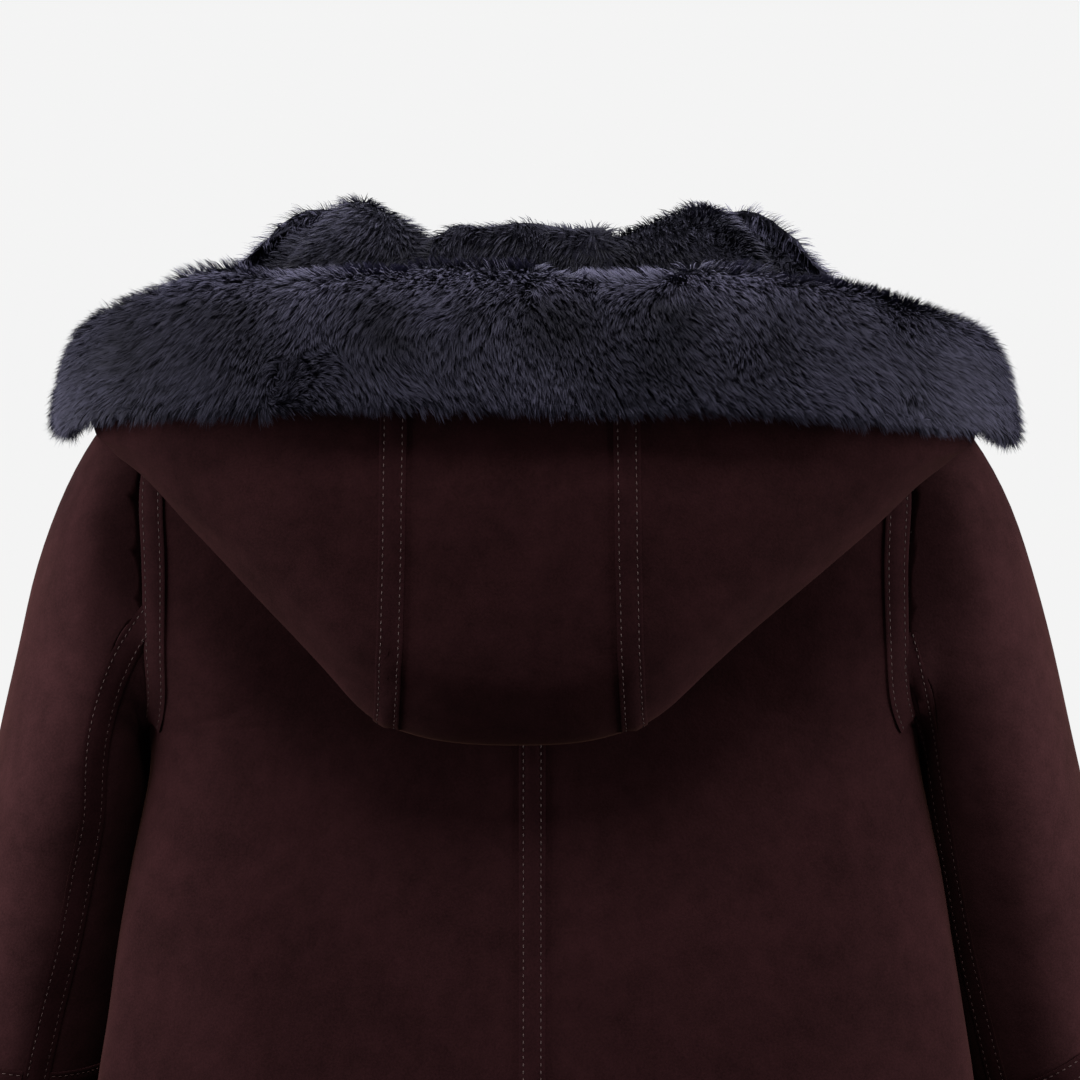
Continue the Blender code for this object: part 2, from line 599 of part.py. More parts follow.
def hood_cuff():
    """The fur cuff: the hood's edge turned out, hooked over the fold and hanging outside it."""
    sections = []
    right = [-at for at in reversed(HOOD_SIDE_STATIONS)]
    for at in (*right, *HOOD_CENTRE_STATIONS, *HOOD_SIDE_STATIONS):
        controls = hood_controls(at)
        fold, hang = controls[6], controls[7]
        cloth_up = unit(fold - hood_point(at, 5.6))
        fur_side = -hood_normal(at, 5.98)
        near, far = max(at - 0.01, -1), min(at + 0.01, 1)
        along = unit(hood_controls(far)[6] - hood_controls(near)[6])
        up = unit(fold - hang)
        out = unit(np.cross(up, along))
        drop = np.linalg.norm(fold - hang)
        ripple = sum(d * math.sin(n * math.pi * at + p) for n, p, d in CUFF_RIPPLES)
        top = unit(cloth_up + up)
        rim = fold + cloth_up * SEAM_GAP
        section = [rim + fur_side * hood_wall(at), rim]
        section += [fold - up * drop * share + out * off for share, off in CUFF_INSIDE]
        section += [fold - up * drop * share + out * (off + ripple) for share, off in CUFF_OUTSIDE]
        section += [fold + top * (CUFF_TOP * CUFF_SHOULDERS[0] + ripple) + out * CUFF_TOP_OUT,
                    fold + top * (CUFF_TOP + ripple) + fur_side,
                    rim + fur_side * hood_wall(at) * CUFF_TOP_IN + top * CUFF_TOP * CUFF_SHOULDERS[1]]
        sections.append(np.array(section))
    return solid("hood_cuff", sections, fur, True)


# ---------------------------------------------------------------- the coat
for old in list(bpy.data.objects):
    bpy.data.objects.remove(old)
coat = bpy.data.collections.new(COAT)
bpy.context.scene.collection.children.link(coat)
suede = coat_material("suede", (0.020, 0.0065, 0.0072), 0.9)
fur = coat_material("fur", (0.030, 0.029, 0.045), 0.95)

for side, word in ((1, "left"), (-1, "right")):
    body_panel(f"back_{word}", side, False)
    body_panel(f"front_{word}", side, True)
    sleeve_panel(f"sleeve_top_{word}", side, False, False)
    sleeve_panel(f"sleeve_under_{word}", side, True, False)
    sleeve_panel(f"forearm_top_{word}", side, False, True)
    sleeve_panel(f"forearm_under_{word}", side, True, True)
    armhole_strap(f"armhole_strap_{word}", side)
    sleeve_strap(f"sleeve_strap_{word}", side)
    elbow_strap(f"elbow_strap_{word}", side)
    hood_strap(f"hood_strap_{word}", side)
    hood_panel(f"hood_{word}", sorted(side * at for at in HOOD_SIDE_STATIONS))
hood_panel("hood_centre", [-HOOD_SEAM, *HOOD_CENTRE_STATIONS, HOOD_SEAM])
hood_cuff()
centre_back_strap()
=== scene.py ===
# %% [markdown]
# # A hooded faux shearling coat, seen from the back
# The coat is one bonded cloth, dark brown suede outside and a dark blue-grey pile inside. Its hood lies
# folded over the back, with its edge turned out as a thick band of fur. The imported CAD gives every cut
# piece as a closed wall, and this lesson adds the cloth, folds, seams and fur on its frame.

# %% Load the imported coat
import heapq
import itertools
import math

import bmesh
import bpy
import numpy as np
from mathutils import Matrix, Vector
from mathutils.bvhtree import BVHTree
from mathutils.kdtree import KDTree


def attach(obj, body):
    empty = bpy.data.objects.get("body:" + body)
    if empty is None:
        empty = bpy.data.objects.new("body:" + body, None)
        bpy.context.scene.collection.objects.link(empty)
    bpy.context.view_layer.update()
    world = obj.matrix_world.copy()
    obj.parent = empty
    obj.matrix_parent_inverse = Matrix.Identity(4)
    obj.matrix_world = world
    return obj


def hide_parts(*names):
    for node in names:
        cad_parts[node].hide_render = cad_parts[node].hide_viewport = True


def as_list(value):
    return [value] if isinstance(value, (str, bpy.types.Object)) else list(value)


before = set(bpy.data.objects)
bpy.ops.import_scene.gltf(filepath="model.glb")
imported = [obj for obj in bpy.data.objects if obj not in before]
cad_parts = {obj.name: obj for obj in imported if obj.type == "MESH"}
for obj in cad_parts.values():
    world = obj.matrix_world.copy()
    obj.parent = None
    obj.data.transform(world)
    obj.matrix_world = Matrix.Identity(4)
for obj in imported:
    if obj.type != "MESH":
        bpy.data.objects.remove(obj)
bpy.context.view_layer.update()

MM = 0.001

# %% [markdown]
# ## Helpers
# The world, the floor and every finish are made of nodes, so a few short helpers come first.

# %% Node and object helpers
def add(tree, kind, inputs=(), **settings):
    """A node with its settings. Each of its inputs takes a plain value or another node's socket."""
    node = tree.nodes.new(kind)
    for key, value in settings.items():
        setattr(node, key, value)
    for key, value in dict(inputs).items():
        if isinstance(value, bpy.types.NodeSocket):
            tree.links.new(value, node.inputs[key])
        else:
            node.inputs[key].default_value = value
    return node


def maths(tree, operation, *values):
    """A Math node of two or three values, each a socket or a number."""
    return add(tree, "ShaderNodeMath", dict(enumerate(values)), operation=operation).outputs["Value"]


def mixed(tree, share, first, second):
    """A colour between two, by a share from 0 to 1."""
    return add(tree, "ShaderNodeMix", {"Factor": share, 6: (*first, 1), 7: (*second, 1)},
               data_type="RGBA").outputs[2]


def tinted(tree, colour, shade):
    """A colour times a value that changes over the surface."""
    return add(tree, "ShaderNodeVectorMath", {0: colour, "Scale": shade}, operation="SCALE").outputs["Vector"]


def noise(tree, place, scale, detail, rough=0.5):
    """Noise of that many waves a metre, as a value from 0 to 1."""
    return add(tree, "ShaderNodeTexNoise", {"Vector": place, "Scale": scale, "Detail": detail,
                                            "Roughness": rough}).outputs["Fac"]


def raised(tree, height, strength, distance):
    """The normals of a surface raised by a height."""
    return add(tree, "ShaderNodeBump", {"Height": height, "Strength": strength,
                                        "Distance": distance}).outputs["Normal"]


def start_material(name):
    """An empty node material: (material, tree)."""
    material = bpy.data.materials.new(name)
    material.use_nodes = True
    material.node_tree.nodes.clear()
    return material, material.node_tree


def end_material(tree, inputs):
    """Ends a material in a principled shader with these inputs."""
    shader = add(tree, "ShaderNodeBsdfPrincipled", inputs)
    add(tree, "ShaderNodeOutputMaterial", {"Surface": shader.outputs["BSDF"]})


def new_object(name, mesh, materials):
    """A piece at the origin with its finishes."""
    piece = bpy.data.objects.new(name, mesh)
    bpy.context.collection.objects.link(piece)
    for material in materials:
        mesh.materials.append(material)
    return piece


# %% [markdown]
# ## The camera, the light and the floor
# The photograph looks at the coat from straight behind through a long lens, level with the middle of the
# hood, so the camera stands 3.5 m off with a narrow view. A coat this dark on a near-white ground needs
# that ground for the camera alone and less light from it on the cloth, which the world and the floor do
# with Light Path. The key light, high on the camera's side, leaves the shadow under the hood, one straight
# above brightens the top of the fur, and the fills keep the sleeves from going black.

# %% Camera and world
CAMERA_AT = (-0.0043, 3.65, -0.1405)
HALF_VIEW = 0.28877 / 3.5               # half the picture's width, a metre from the camera
SENSOR = 36.0

lens = bpy.data.cameras.new("camera")
lens.sensor_width = SENSOR
lens.lens = SENSOR / 2 / HALF_VIEW
lens.clip_end = 50
camera = bpy.data.objects.new("camera", lens)
camera.location = CAMERA_AT
camera.rotation_euler = (math.radians(90), 0, math.radians(180))
bpy.context.collection.objects.link(camera)
bpy.context.scene.camera = camera
bpy.context.scene.view_settings.view_transform = "Standard"

BACKDROP = 0.905                        # what the camera sees of the world
AMBIENT = 0.11                          # what the world gives the cloth

world = bpy.data.worlds.new("studio")
bpy.context.scene.world = world
world.use_nodes = True
sky = world.node_tree
sky.nodes.clear()
by_camera = add(sky, "ShaderNodeLightPath").outputs["Is Camera Ray"]
seen = add(sky, "ShaderNodeBackground", {"Color": (BACKDROP, BACKDROP, BACKDROP, 1)})
given = add(sky, "ShaderNodeBackground", {"Color": (AMBIENT, AMBIENT, AMBIENT * 1.02, 1)})
choice = add(sky, "ShaderNodeMixShader", {"Fac": by_camera, 1: given.outputs["Background"],
                                          2: seen.outputs["Background"]})
add(sky, "ShaderNodeOutputWorld", {"Surface": choice.outputs["Shader"]})
print("camera and world set")

# %% Lights and floor
LIT_POINT = Vector((0, 0.1, -0.1))      # in the hood, where every light points
FLOOR_AT, FLOOR_HALF = -1.45, 3.0       # the floor's height and half its side
PAPER_LIT, PAPER_SEEN = 0.06, 0.75      # the floor's grey to the light, and to the camera


def soft_light(name, at, size, watts):
    """A square area light that faces the hood."""
    light = bpy.data.lights.new(name, "AREA")
    light.shape = "SQUARE"
    light.size = size
    light.energy = watts
    lamp = bpy.data.objects.new(name, light)
    lamp.location = at
    lamp.rotation_euler = (LIT_POINT - Vector(at)).to_track_quat("-Z", "Y").to_euler()
    bpy.context.collection.objects.link(lamp)


soft_light("key", (0.15, 2.20, 3.30), 1.1, 152)
soft_light("top", (0.0, 0.05, 3.4), 1.2, 110)
soft_light("fill_left", (2.7, 0.25, 0.1), 1.6, 112)
soft_light("fill_right", (-2.7, 0.25, 0.1), 1.6, 100)
soft_light("front", (0.2, -2.8, 1.6), 2.0, 45)

floor_bm = bmesh.new()
bmesh.ops.create_grid(floor_bm, x_segments=1, y_segments=1, size=FLOOR_HALF)
bmesh.ops.translate(floor_bm, verts=floor_bm.verts, vec=(0, 0, FLOOR_AT))
floor_mesh = bpy.data.meshes.new("floor")
floor_bm.to_mesh(floor_mesh)
floor_bm.free()
paper, tree = start_material("studio paper")
by_camera = add(tree, "ShaderNodeLightPath").outputs["Is Camera Ray"]
end_material(tree, {"Base Color": mixed(tree, by_camera, [PAPER_LIT] * 3, [PAPER_SEEN] * 3)})
new_object("floor", floor_mesh, [paper])
print("lights and floor set")

# %% [markdown]
# ## The finishes
# Suede has a fine nap, brushed lighter and darker in soft clouds over a grain of about a millimetre. All
# the suedes share it, so it is a node group, which gives a shade around 1 and a height for the bump.

# %% The nap group and the suedes
def nap_group():
    """Brushed clouds, smaller smudges and a fine grain, as Shade and Height."""
    group = bpy.data.node_groups.new("suede nap", "ShaderNodeTree")
    for name, kind, way in (("Place", "Vector", "INPUT"), ("Clouds", "Float", "INPUT"),
                            ("Grain", "Float", "INPUT"), ("Shade", "Float", "OUTPUT"),
                            ("Height", "Float", "OUTPUT")):
        group.interface.new_socket(name=name, in_out=way, socket_type=f"NodeSocket{kind}")
    ins = group.nodes.new("NodeGroupInput").outputs
    clouds = noise(group, ins["Place"], 24.0, 3.0, 0.55)
    smudges = noise(group, ins["Place"], 95.0, 3.0, 0.6)
    grain = noise(group, ins["Place"], 900.0, 2.0, 0.6)
    soft = maths(group, "MULTIPLY_ADD", clouds, 0.6, maths(group, "MULTIPLY", smudges, 0.4))
    shade = maths(group, "MULTIPLY_ADD", maths(group, "SUBTRACT", soft, 0.5), ins["Clouds"], 1.0)
    shade = maths(group, "MULTIPLY_ADD", maths(group, "SUBTRACT", grain, 0.5), ins["Grain"], shade)
    add(group, "NodeGroupOutput", {"Shade": shade,
                                   "Height": maths(group, "MULTIPLY_ADD", grain, 0.35, smudges)})
    return group


NAP = nap_group()


def suede_material(name, colour, clouds, grain, bump):
    """A napped suede: the nap group shades its colour and raises its grain."""
    material, tree = start_material(name)
    place = add(tree, "ShaderNodeTexCoord").outputs["Object"]
    nap = add(tree, "ShaderNodeGroup", {"Place": place, "Clouds": clouds, "Grain": grain}, node_tree=NAP)
    end_material(tree, {
        "Base Color": tinted(tree, colour, nap.outputs["Shade"]),
        "Normal": raised(tree, nap.outputs["Height"], bump, 0.6 * MM),
        "Roughness": 0.95, "Specular IOR Level": 0.03,
        "Sheen Weight": 0.02, "Sheen Roughness": 0.45, "Sheen Tint": (0.95, 0.42, 0.26, 1)})
    return material


# The sleeves' suede is painted paler than the back's and the hood's, as painted light for the light the
# sleeves miss under these lamps, and the straps were cut from a slightly darker skin.
suede = suede_material("dark brown suede", (0.0195, 0.0063, 0.0072), 1.35, 1.0, 0.35)
sleeve_suede_painted_lighter = suede_material("sleeve suede with painted light", (0.0272, 0.0096, 0.0108), 1.35, 1.0, 0.35)
suede_strap = suede_material("suede strap", (0.0185, 0.0059, 0.0069), 1.2, 1.0, 0.30)
# The cut edge is paler and more orange than the suede: partly the cut's own colour, partly a painted rim
# light.
suede_edge_and_rim_light = suede_material("cut suede edge and painted rim", (0.030, 0.0105, 0.0095), 0.40, 0.50, 0.50)
print("suede finishes made")

# %% [markdown]
# The pile under the strands is a dark felt, and the short pile inside the body and sleeves is seen only
# from below or through the neck, so both are a surface with a curly bump. The strands share one material:
# their attribute "hair" holds how far along the strand a point is and the strand's own tone, and gives
# dark roots and paler tips.

# %% Pile, strand and thread finishes
TONE_SCALE = 4.0            # tones are stored divided by this, because a colour's parts end at 1


def pile_material(name, dark, pale, bump, specular, sheen):
    """A short curly pile: small tufts, dark between and paler on top."""
    material, tree = start_material(name)
    place = add(tree, "ShaderNodeTexCoord").outputs["Object"]
    tufts = noise(tree, place, 210.0, 4.0, 0.65)
    patches = noise(tree, place, 28.0, 2.0)
    level = maths(tree, "MULTIPLY_ADD", tufts, 0.7, maths(tree, "MULTIPLY", patches, 0.4))
    ramp = add(tree, "ShaderNodeValToRGB", {"Fac": level})
    for stop, (position, colour) in zip(ramp.color_ramp.elements, ((0.38, dark), (0.72, pale))):
        stop.position, stop.color = position, (*colour, 1)
    end_material(tree, {
        "Base Color": ramp.outputs["Color"], "Normal": raised(tree, tufts, bump, 3 * MM),
        "Roughness": 0.9, "Specular IOR Level": specular,
        "Sheen Weight": sheen, "Sheen Roughness": 0.4, "Sheen Tint": (0.75, 0.78, 1.0, 1)})
    return material


body_pile = pile_material("short inner pile", (0.006, 0.006, 0.009), (0.045, 0.045, 0.062), 0.9, 0.2, 0.25)
undercoat = pile_material("fur undercoat", (0.004, 0.0038, 0.0065), (0.018, 0.0172, 0.027), 1.0, 0.05, 0.05)

fur, tree = start_material("fur strands")
hair = add(tree, "ShaderNodeAttribute", attribute_name="hair")
parts = add(tree, "ShaderNodeSeparateColor", {"Color": hair.outputs["Color"]}).outputs
colour = mixed(tree, parts["Red"], (0.0085, 0.0082, 0.0135), (0.054, 0.0515, 0.082))
colour = tinted(tree, colour, maths(tree, "MULTIPLY", parts["Green"], TONE_SCALE))
end_material(tree, {"Base Color": colour, "Roughness": 0.7, "Specular IOR Level": 0.10})

thread, tree = start_material("topstitch thread")
twist = noise(tree, add(tree, "ShaderNodeTexCoord").outputs["Object"], 1600.0, 1.0)
colour = tinted(tree, (0.043, 0.0155, 0.0140), maths(tree, "ADD", twist, 0.5))
end_material(tree, {"Base Color": colour, "Roughness": 0.6})
print("pile, strands and thread made")

# %% [markdown]
# ## The cloth pieces
# Each cut piece in the CAD is a coarse closed wall: a suede side, a pile side and the narrow cut edge
# between them. A copy of it is joined to quads, each face is told which side it is on, the cut edge is
# creased, and two rounds of subdivision give it the curve of real cloth. Direction alone wouldn't tell the
# sides apart in the hood's pouch, which turns over, so they are flooded from one face on each: the gentlest
# edges first, and never one sharper than 65 degrees, or 84 in the hood's centre strip.

# %% Merge and label a wall
SUEDE_SIDE, PILE_SIDE, CUT_EDGE = 0, 1, 2
SHARP, RIDGE = math.radians(65), math.radians(84)
BROAD, FACING_IT = 0.6, 0.6             # the first face is broader than this share of them, and faces the way
WELD = 1e-6


def merged(node):
    """A bmesh copy of a CAD node, its doubles merged and its triangles joined to quads."""
    bm = bmesh.new()
    bm.from_mesh(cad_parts[node].data)
    bmesh.ops.remove_doubles(bm, verts=bm.verts, dist=WELD)
    bmesh.ops.join_triangles(bm, faces=bm.faces, angle_face_threshold=math.radians(60),
                             angle_shape_threshold=math.radians(180))
    bm.normal_update()
    bm.faces.ensure_lookup_table()
    return bm


def first_faces(bm, toward):
    """The index of a broad face on the suede side, and of the face through the wall from it."""
    areas = sorted(f.calc_area() for f in bm.faces)
    broad = areas[int(BROAD * len(areas))]
    facing = [f for f in bm.faces if f.normal.dot(toward) > FACING_IT and f.calc_area() >= broad]
    first = max(facing, key=lambda f: f.calc_center_median().dot(toward))
    tree = BVHTree.FromBMesh(bm)
    at, through = first.calc_center_median(), first.index
    while through == first.index:
        at, _, through, _ = tree.ray_cast(at - first.normal * 1e-4, -first.normal)
    return first.index, through


def label_sides(bm, toward, sharpest=SHARP):
    """Sets each face's material index to its side. toward is the way the suede looks where it is farthest."""
    first, through = first_faces(bm, Vector(toward))
    side, order = {}, itertools.count(2)
    waiting = [(0.0, 0, first, SUEDE_SIDE), (0.0, 1, through, PILE_SIDE)]
    while waiting:
        _, _, index, label = heapq.heappop(waiting)
        if index in side:
            continue
        side[index] = label
        for edge in bm.faces[index].edges:
            for other in edge.link_faces:
                angle = edge.calc_face_angle(math.pi)
                if other.index not in side and angle < sharpest:
                    heapq.heappush(waiting, (angle, next(order), other.index, label))
    for face in bm.faces:
        face.material_index = side.get(face.index, CUT_EDGE)


def crease_edges(bm):
    """Keeps the cut edge crisp where it meets the two sides."""
    crease = bm.edges.layers.float.new("crease_edge")
    for edge in bm.edges:
        sides = {f.material_index for f in edge.link_faces}
        if len(sides) > 1 or (sides == {CUT_EDGE} and edge.calc_face_angle(0) > SHARP):
            edge[crease] = 1.0


# %% [markdown]
# Subdivision draws the cloth in at every bend, so the coarse points are first moved out until the smooth
# surface, which begins with the coarse points in their order, passes close to where they were.

# %% Smooth a wall into a piece
ROUNDS = 2
HOLD_TURNS, HOLD_SHARE = 3, 0.8         # times the points move out, and by this share of what is missing


def read(items, name):
    """A vector that each point or face has, as an array."""
    flat = np.empty(len(items) * 3)
    items.foreach_get(name, flat)
    return flat.reshape(-1, 3)


def points_of(mesh):
    """The mesh's points as an array."""
    return read(mesh.vertices, "co")


def sides_of(mesh):
    """Each face's side."""
    return np.array([f.material_index for f in mesh.polygons])


def set_points(mesh, points):
    """Moves the mesh's points to these places."""
    mesh.vertices.foreach_set("co", np.ascontiguousarray(points, float).ravel())
    mesh.update()


def as_shown(piece):
    """The piece's mesh with its modifiers applied."""
    bpy.context.view_layer.update()
    return bpy.data.meshes.new_from_object(piece.evaluated_get(bpy.context.evaluated_depsgraph_get()))


def hold_points(piece):
    """Moves the coarse points out until the smooth surface passes close to where they were."""
    wanted = points_of(piece.data)
    for _ in range(HOLD_TURNS):
        shown = as_shown(piece)
        missing = wanted - points_of(shown)[:len(wanted)]
        bpy.data.meshes.remove(shown)
        set_points(piece.data, points_of(piece.data) + HOLD_SHARE * missing)


def smoothed(bm, name, materials, rounds=ROUNDS):
    """The bmesh as a piece, subdivided, with nothing left live."""
    mesh = bpy.data.meshes.new(name)
    bm.to_mesh(mesh)
    bm.free()
    piece = new_object(name, mesh, materials)
    if rounds:
        finer = piece.modifiers.new("cloth", "SUBSURF")
        finer.levels = finer.render_levels = rounds
        hold_points(piece)
        baked = as_shown(piece)
        piece.modifiers.clear()
        piece.data = baked
        baked.name = name
    piece.data.polygons.foreach_set("use_smooth", np.ones(len(piece.data.polygons), bool))
    piece.data.set_sharp_from_angle(angle=math.radians(50))
    return piece


def wall_piece(node, toward):
    """A cloth piece on its CAD wall."""
    bm = merged(node)
    label_sides(bm, toward, RIDGE if node == "hood_centre" else SHARP)
    crease_edges(bm)
    pile, edge = (undercoat, undercoat) if node.startswith("hood") else (body_pile, suede_edge_and_rim_light)
    # The sleeves take the suede that is painted paler, as painted light.
    face = sleeve_suede_painted_lighter if "sleeve" in node or "forearm" in node else suede
    return smoothed(bm, f"{node}_cloth", (face, pile, edge))


# %% [markdown]
# The pieces are the ones a cutter would lay out: two backs and two fronts, a top and an under sleeve and
# forearm on each side, two hood sides and the hood's centre strip. The table says which way the suede of
# each CAD node faces.

# %% Make the cut pieces
BACK, FRONT, LEFT, RIGHT = (0, 1, 0), (0, -1, 0), (1, 0, 0), (-1, 0, 0)
cloth = {}
for side, out_way, in_way in (("left", LEFT, RIGHT), ("right", RIGHT, LEFT)):
    for kind, way in (("back", BACK), ("front", FRONT), ("sleeve_top", out_way), ("sleeve_under", in_way),
                      ("forearm_top", out_way), ("forearm_under", in_way), ("hood", BACK)):
        cloth[f"{kind}_{side}"] = wall_piece(f"{kind}_{side}", way)
cloth["hood_centre"] = wall_piece("hood_centre", BACK)
for node, piece in cloth.items():
    print(node, "faces on suede, pile and edge:", np.bincount(sides_of(piece.data), minlength=3).tolist())

# %% [markdown]
# ## Folds
# Worn cloth this thick bends in few, wide, soft folds: across the inner elbow, from under the arm, and at
# the waist where the sleeves rest. Each is given as a trough or a ridge, and both sides of the wall move
# together so the cloth keeps its thickness. A low unevenness takes away the machine-made look.

# %% Soft noise, slopes and hills
def soft_noise(points, size, seed):
    """Smooth noise from -1 to 1 at these points, with waves about size metres long."""
    lattice = np.random.default_rng(seed).uniform(-1, 1, (32, 32, 32))
    at = points / size + 100.0
    low = np.floor(at).astype(int)
    share = at - low
    share = share * share * (3 - 2 * share)
    total = np.zeros(len(points))
    for corner in range(8):
        step = np.array([corner >> 2 & 1, corner >> 1 & 1, corner & 1])
        cell = (low + step) % 32
        weight = np.where(step == 1, share, 1 - share).prod(axis=1)
        total += weight * lattice[cell[:, 0], cell[:, 1], cell[:, 2]]
    return total


def slope(values, start, length):
    """From 0 at start to 1 after this length."""
    return np.clip((values - start) / length, 0, 1)


def hill(values, middle, width):
    """1 in the middle and almost nothing two widths away."""
    return np.exp(-((values - middle) / width) ** 2)


def outwards(mesh):
    """At each point, the way out through the suede: the suede's normal, or the pile's turned round."""
    way = np.zeros((len(mesh.vertices), 3))
    for face in mesh.polygons:
        if face.material_index == CUT_EDGE:
            continue
        sign = 1 if face.material_index == SUEDE_SIDE else -1
        way[list(face.vertices)] += np.array(face.normal) * (sign * face.area)
    lengths = np.linalg.norm(way, axis=1)
    way[lengths > 0] /= lengths[lengths > 0, None]
    return way


# %% Lay the folds
# Each fold: the pieces it crosses, on the side where it starts, its ends, half its width and its depth (a
# trough is below 0), in mm.
FOLDS = (
    ("sleeve_top sleeve_under forearm_top", (242, 28, -150), (268, 46, -222), 17, -3.0),
    ("sleeve_top", (262, 44, -300), (244, 40, -352), 15, -2.2),
    ("forearm_top sleeve_top", (300, 12, -446), (264, 22, -478), 11, -2.6),
    ("forearm_top", (318, -18, -492), (280, 0, -516), 9, -1.9),
    ("sleeve_top", (-246, 30, -160), (-272, 44, -250), 18, -2.6),
    ("sleeve_top sleeve_under", (-236, 36, -282), (-262, 30, -345), 13, -2.4),
    ("forearm_top sleeve_top", (-298, 10, -440), (-262, 24, -462), 10, -2.4),
    ("sleeve_under forearm_under", (244, -60, -400), (262, 6, -430), 10, -2.6),
    ("sleeve_under forearm_under", (-246, -56, -404), (-262, 4, -426), 9, -2.4),
    ("sleeve_top sleeve_under", (250, -84, -380), (292, -92, -396), 11, -2.2),
    ("sleeve_top sleeve_under", (-252, -82, -372), (-296, -88, -392), 12, -2.0),
    ("back", (150, 96, -210), (90, 112, -330), 30, -2.2),
    ("back", (-160, 94, -220), (-112, 110, -350), 34, -2.4),
    ("back", (186, 84, -300), (150, 104, -470), 24, 1.8),
    ("back", (-190, 84, -310), (-150, 106, -450), 26, 1.6),
    ("front", (170, -96, -210), (110, -128, -300), 26, -2.6),
    ("front", (-176, -94, -205), (-120, -126, -315), 24, -2.4),
    ("front", (196, -100, -330), (150, -138, -450), 22, 1.9),
    ("hood", (118, 162, -186), (186, 146, -128), 22, -1.8),
    ("hood", (-112, 162, -190), (-178, 148, -134), 20, -1.6),
    ("hood hood_centre", (20, 170, -210), (108, 164, -198), 18, 1.4),
)
UNEVEN = ((0.085, 0.9, 11), (0.040, 0.45, 12))      # waves in metres, height in mm, seed


def crossed(kinds, x):
    """The pieces of these kinds, each on the side that x is on."""
    side = "left" if x > 0 else "right"
    return [kind if kind in cloth else f"{kind}_{side}" for kind in kinds.split()]


def fold_depth(points, start, end, width, depth):
    """How far a fold moves the cloth at each point: deepest in its middle, nothing past its ends."""
    start, end = np.array(start) * MM, np.array(end) * MM
    along = (points - start) @ (end - start) / ((end - start) @ (end - start))
    nearest = start + np.clip(along, 0, 1)[:, None] * (end - start)
    off = np.linalg.norm(points - nearest, axis=1) / (width * MM)
    fade = np.clip(1 - np.abs(2 * along - 1) ** 3, 0, 1)
    return depth * MM * np.exp(-off ** 2) * fade


for node, piece in cloth.items():
    points, way = points_of(piece.data), outwards(piece.data)
    move = sum(soft_noise(points, size, seed) * height * MM for size, height, seed in UNEVEN)
    for kinds, start, end, width, depth in FOLDS:
        if node in crossed(kinds, start[0]):
            move = move + fold_depth(points, start, end, width, depth)
    set_points(piece.data, points + way * move[:, None])
print("folds laid:", len(FOLDS))

# %% [markdown]
# The neck's edge stands up a little at both ends of the centre strip, and the pouch hangs a little lower
# than in the CAD.

# %% Raise the neck's edge and let the pouch sag
RAISED = ((40, 10, 5.5), (-38, 15, 5.0))            # x, half the width and the height, in mm
SAG = 5.5                                           # mm
for node in ("hood_left", "hood_right", "hood_centre"):
    points = points_of(cloth[node].data)
    near = slope(points[:, 2] / MM, 6, 14) * hill(points[:, 1] / MM, 75, 30)
    for x, wide, high in RAISED:
        points[:, 2] += near * high * MM * hill(points[:, 0] / MM, x, wide)
    low = slope(-points[:, 2] / MM, 205, 25) * hill(points[:, 0] / MM, 10, 60)
    points[:, 2] -= SAG * MM * low
    set_points(cloth[node].data, points)
print("neck edge raised at", len(RAISED), "places")

# %% [markdown]
# ## Straps over the seams
# Each main seam is covered by a narrow suede strap with a row of topstitching near each edge. A strap
# keeps the course of its CAD piece, midway between the long edges of its outer side, but is laid on the
# cloth again, because the cloth now has folds. It is a little lower at its edges and along its stitches,
# where the thread pulls it in.

# %% Ask where the suede is
def one_tree(meshes, side=None):
    """The meshes, or this side of them, joined for casting rays: (tree, points, faces)."""
    points, faces, start = [], [], 0
    for mesh in meshes:
        points.append(points_of(mesh))
        faces += [[v + start for v in f.vertices] for f in mesh.polygons if side in (None, f.material_index)]
        start += len(mesh.vertices)
    points = np.concatenate(points)
    return BVHTree.FromPolygons(points.tolist(), faces), points, faces


suede_tree, suede_points, suede_faces = one_tree([piece.data for piece in cloth.values()], SUEDE_SIDE)
suede_normals = np.concatenate([outwards(piece.data) for piece in cloth.values()])


def smooth_normal(face, place):
    """The suede's normal at a place on one of its faces, shared out between the face's corners."""
    corners = suede_faces[face]
    near = 1 / (np.linalg.norm(suede_points[corners] - np.array(place), axis=1) + 1e-5)
    normal = (suede_normals[corners] * near[:, None]).sum(axis=0)
    return normal / np.linalg.norm(normal)


def normal_near(point):
    """The suede's normal at the place nearest to this point."""
    place, _, face, _ = suede_tree.find_nearest(point)
    return smooth_normal(face, place)


def outside_suede(point):
    """True if the nearest suede has this point on its outer side."""
    place, normal, _, far = suede_tree.find_nearest(point, 0.02)
    return place is not None and far > 1e-5 and normal.dot(Vector(point) - place) > 0


print("suede faces:", len(suede_faces))

# %% [markdown]
# The four sharpest corners of the rim round a strap's outer side part it into two ends and two long edges.
# The sleeve straps leave the armhole straps at a slant, so their first stretch is drawn again through
# points seen from behind.

# %% Follow a strap
STRAPS = ("centre_back_strap", *(f"{kind}_strap_{side}" for kind in ("armhole", "sleeve", "elbow", "hood")
                                 for side in ("left", "right")))
STEP = 5 * MM                           # along a strap, from one row of points to the next
STRAP_STARTS = {                        # x and z of the redrawn points, in mm
    "sleeve_strap_left": ((206, -178), (214, -189), (224, -204), (233, -226), (239, -250), (241, -275)),
    "sleeve_strap_right": ((-203, -192), (-205, -203), (-209, -218), (-215, -240), (-221, -262)),
}
JOIN = 12 * MM                          # left out between the redrawn stretch and the rest
BEHIND = 0.4                            # metres: y from which the redrawn points look for the cloth


def unit(vectors):
    """Each vector at length one."""
    return vectors / np.maximum(np.linalg.norm(vectors, axis=-1, keepdims=True), 1e-9)


def length_of(line):
    """How long a line of points is."""
    return np.linalg.norm(np.diff(line, axis=0), axis=1).sum()


def run_of(line):
    """How far along the line each of its points is."""
    return np.concatenate([[0], np.cumsum(np.linalg.norm(np.diff(line, axis=0), axis=1))])


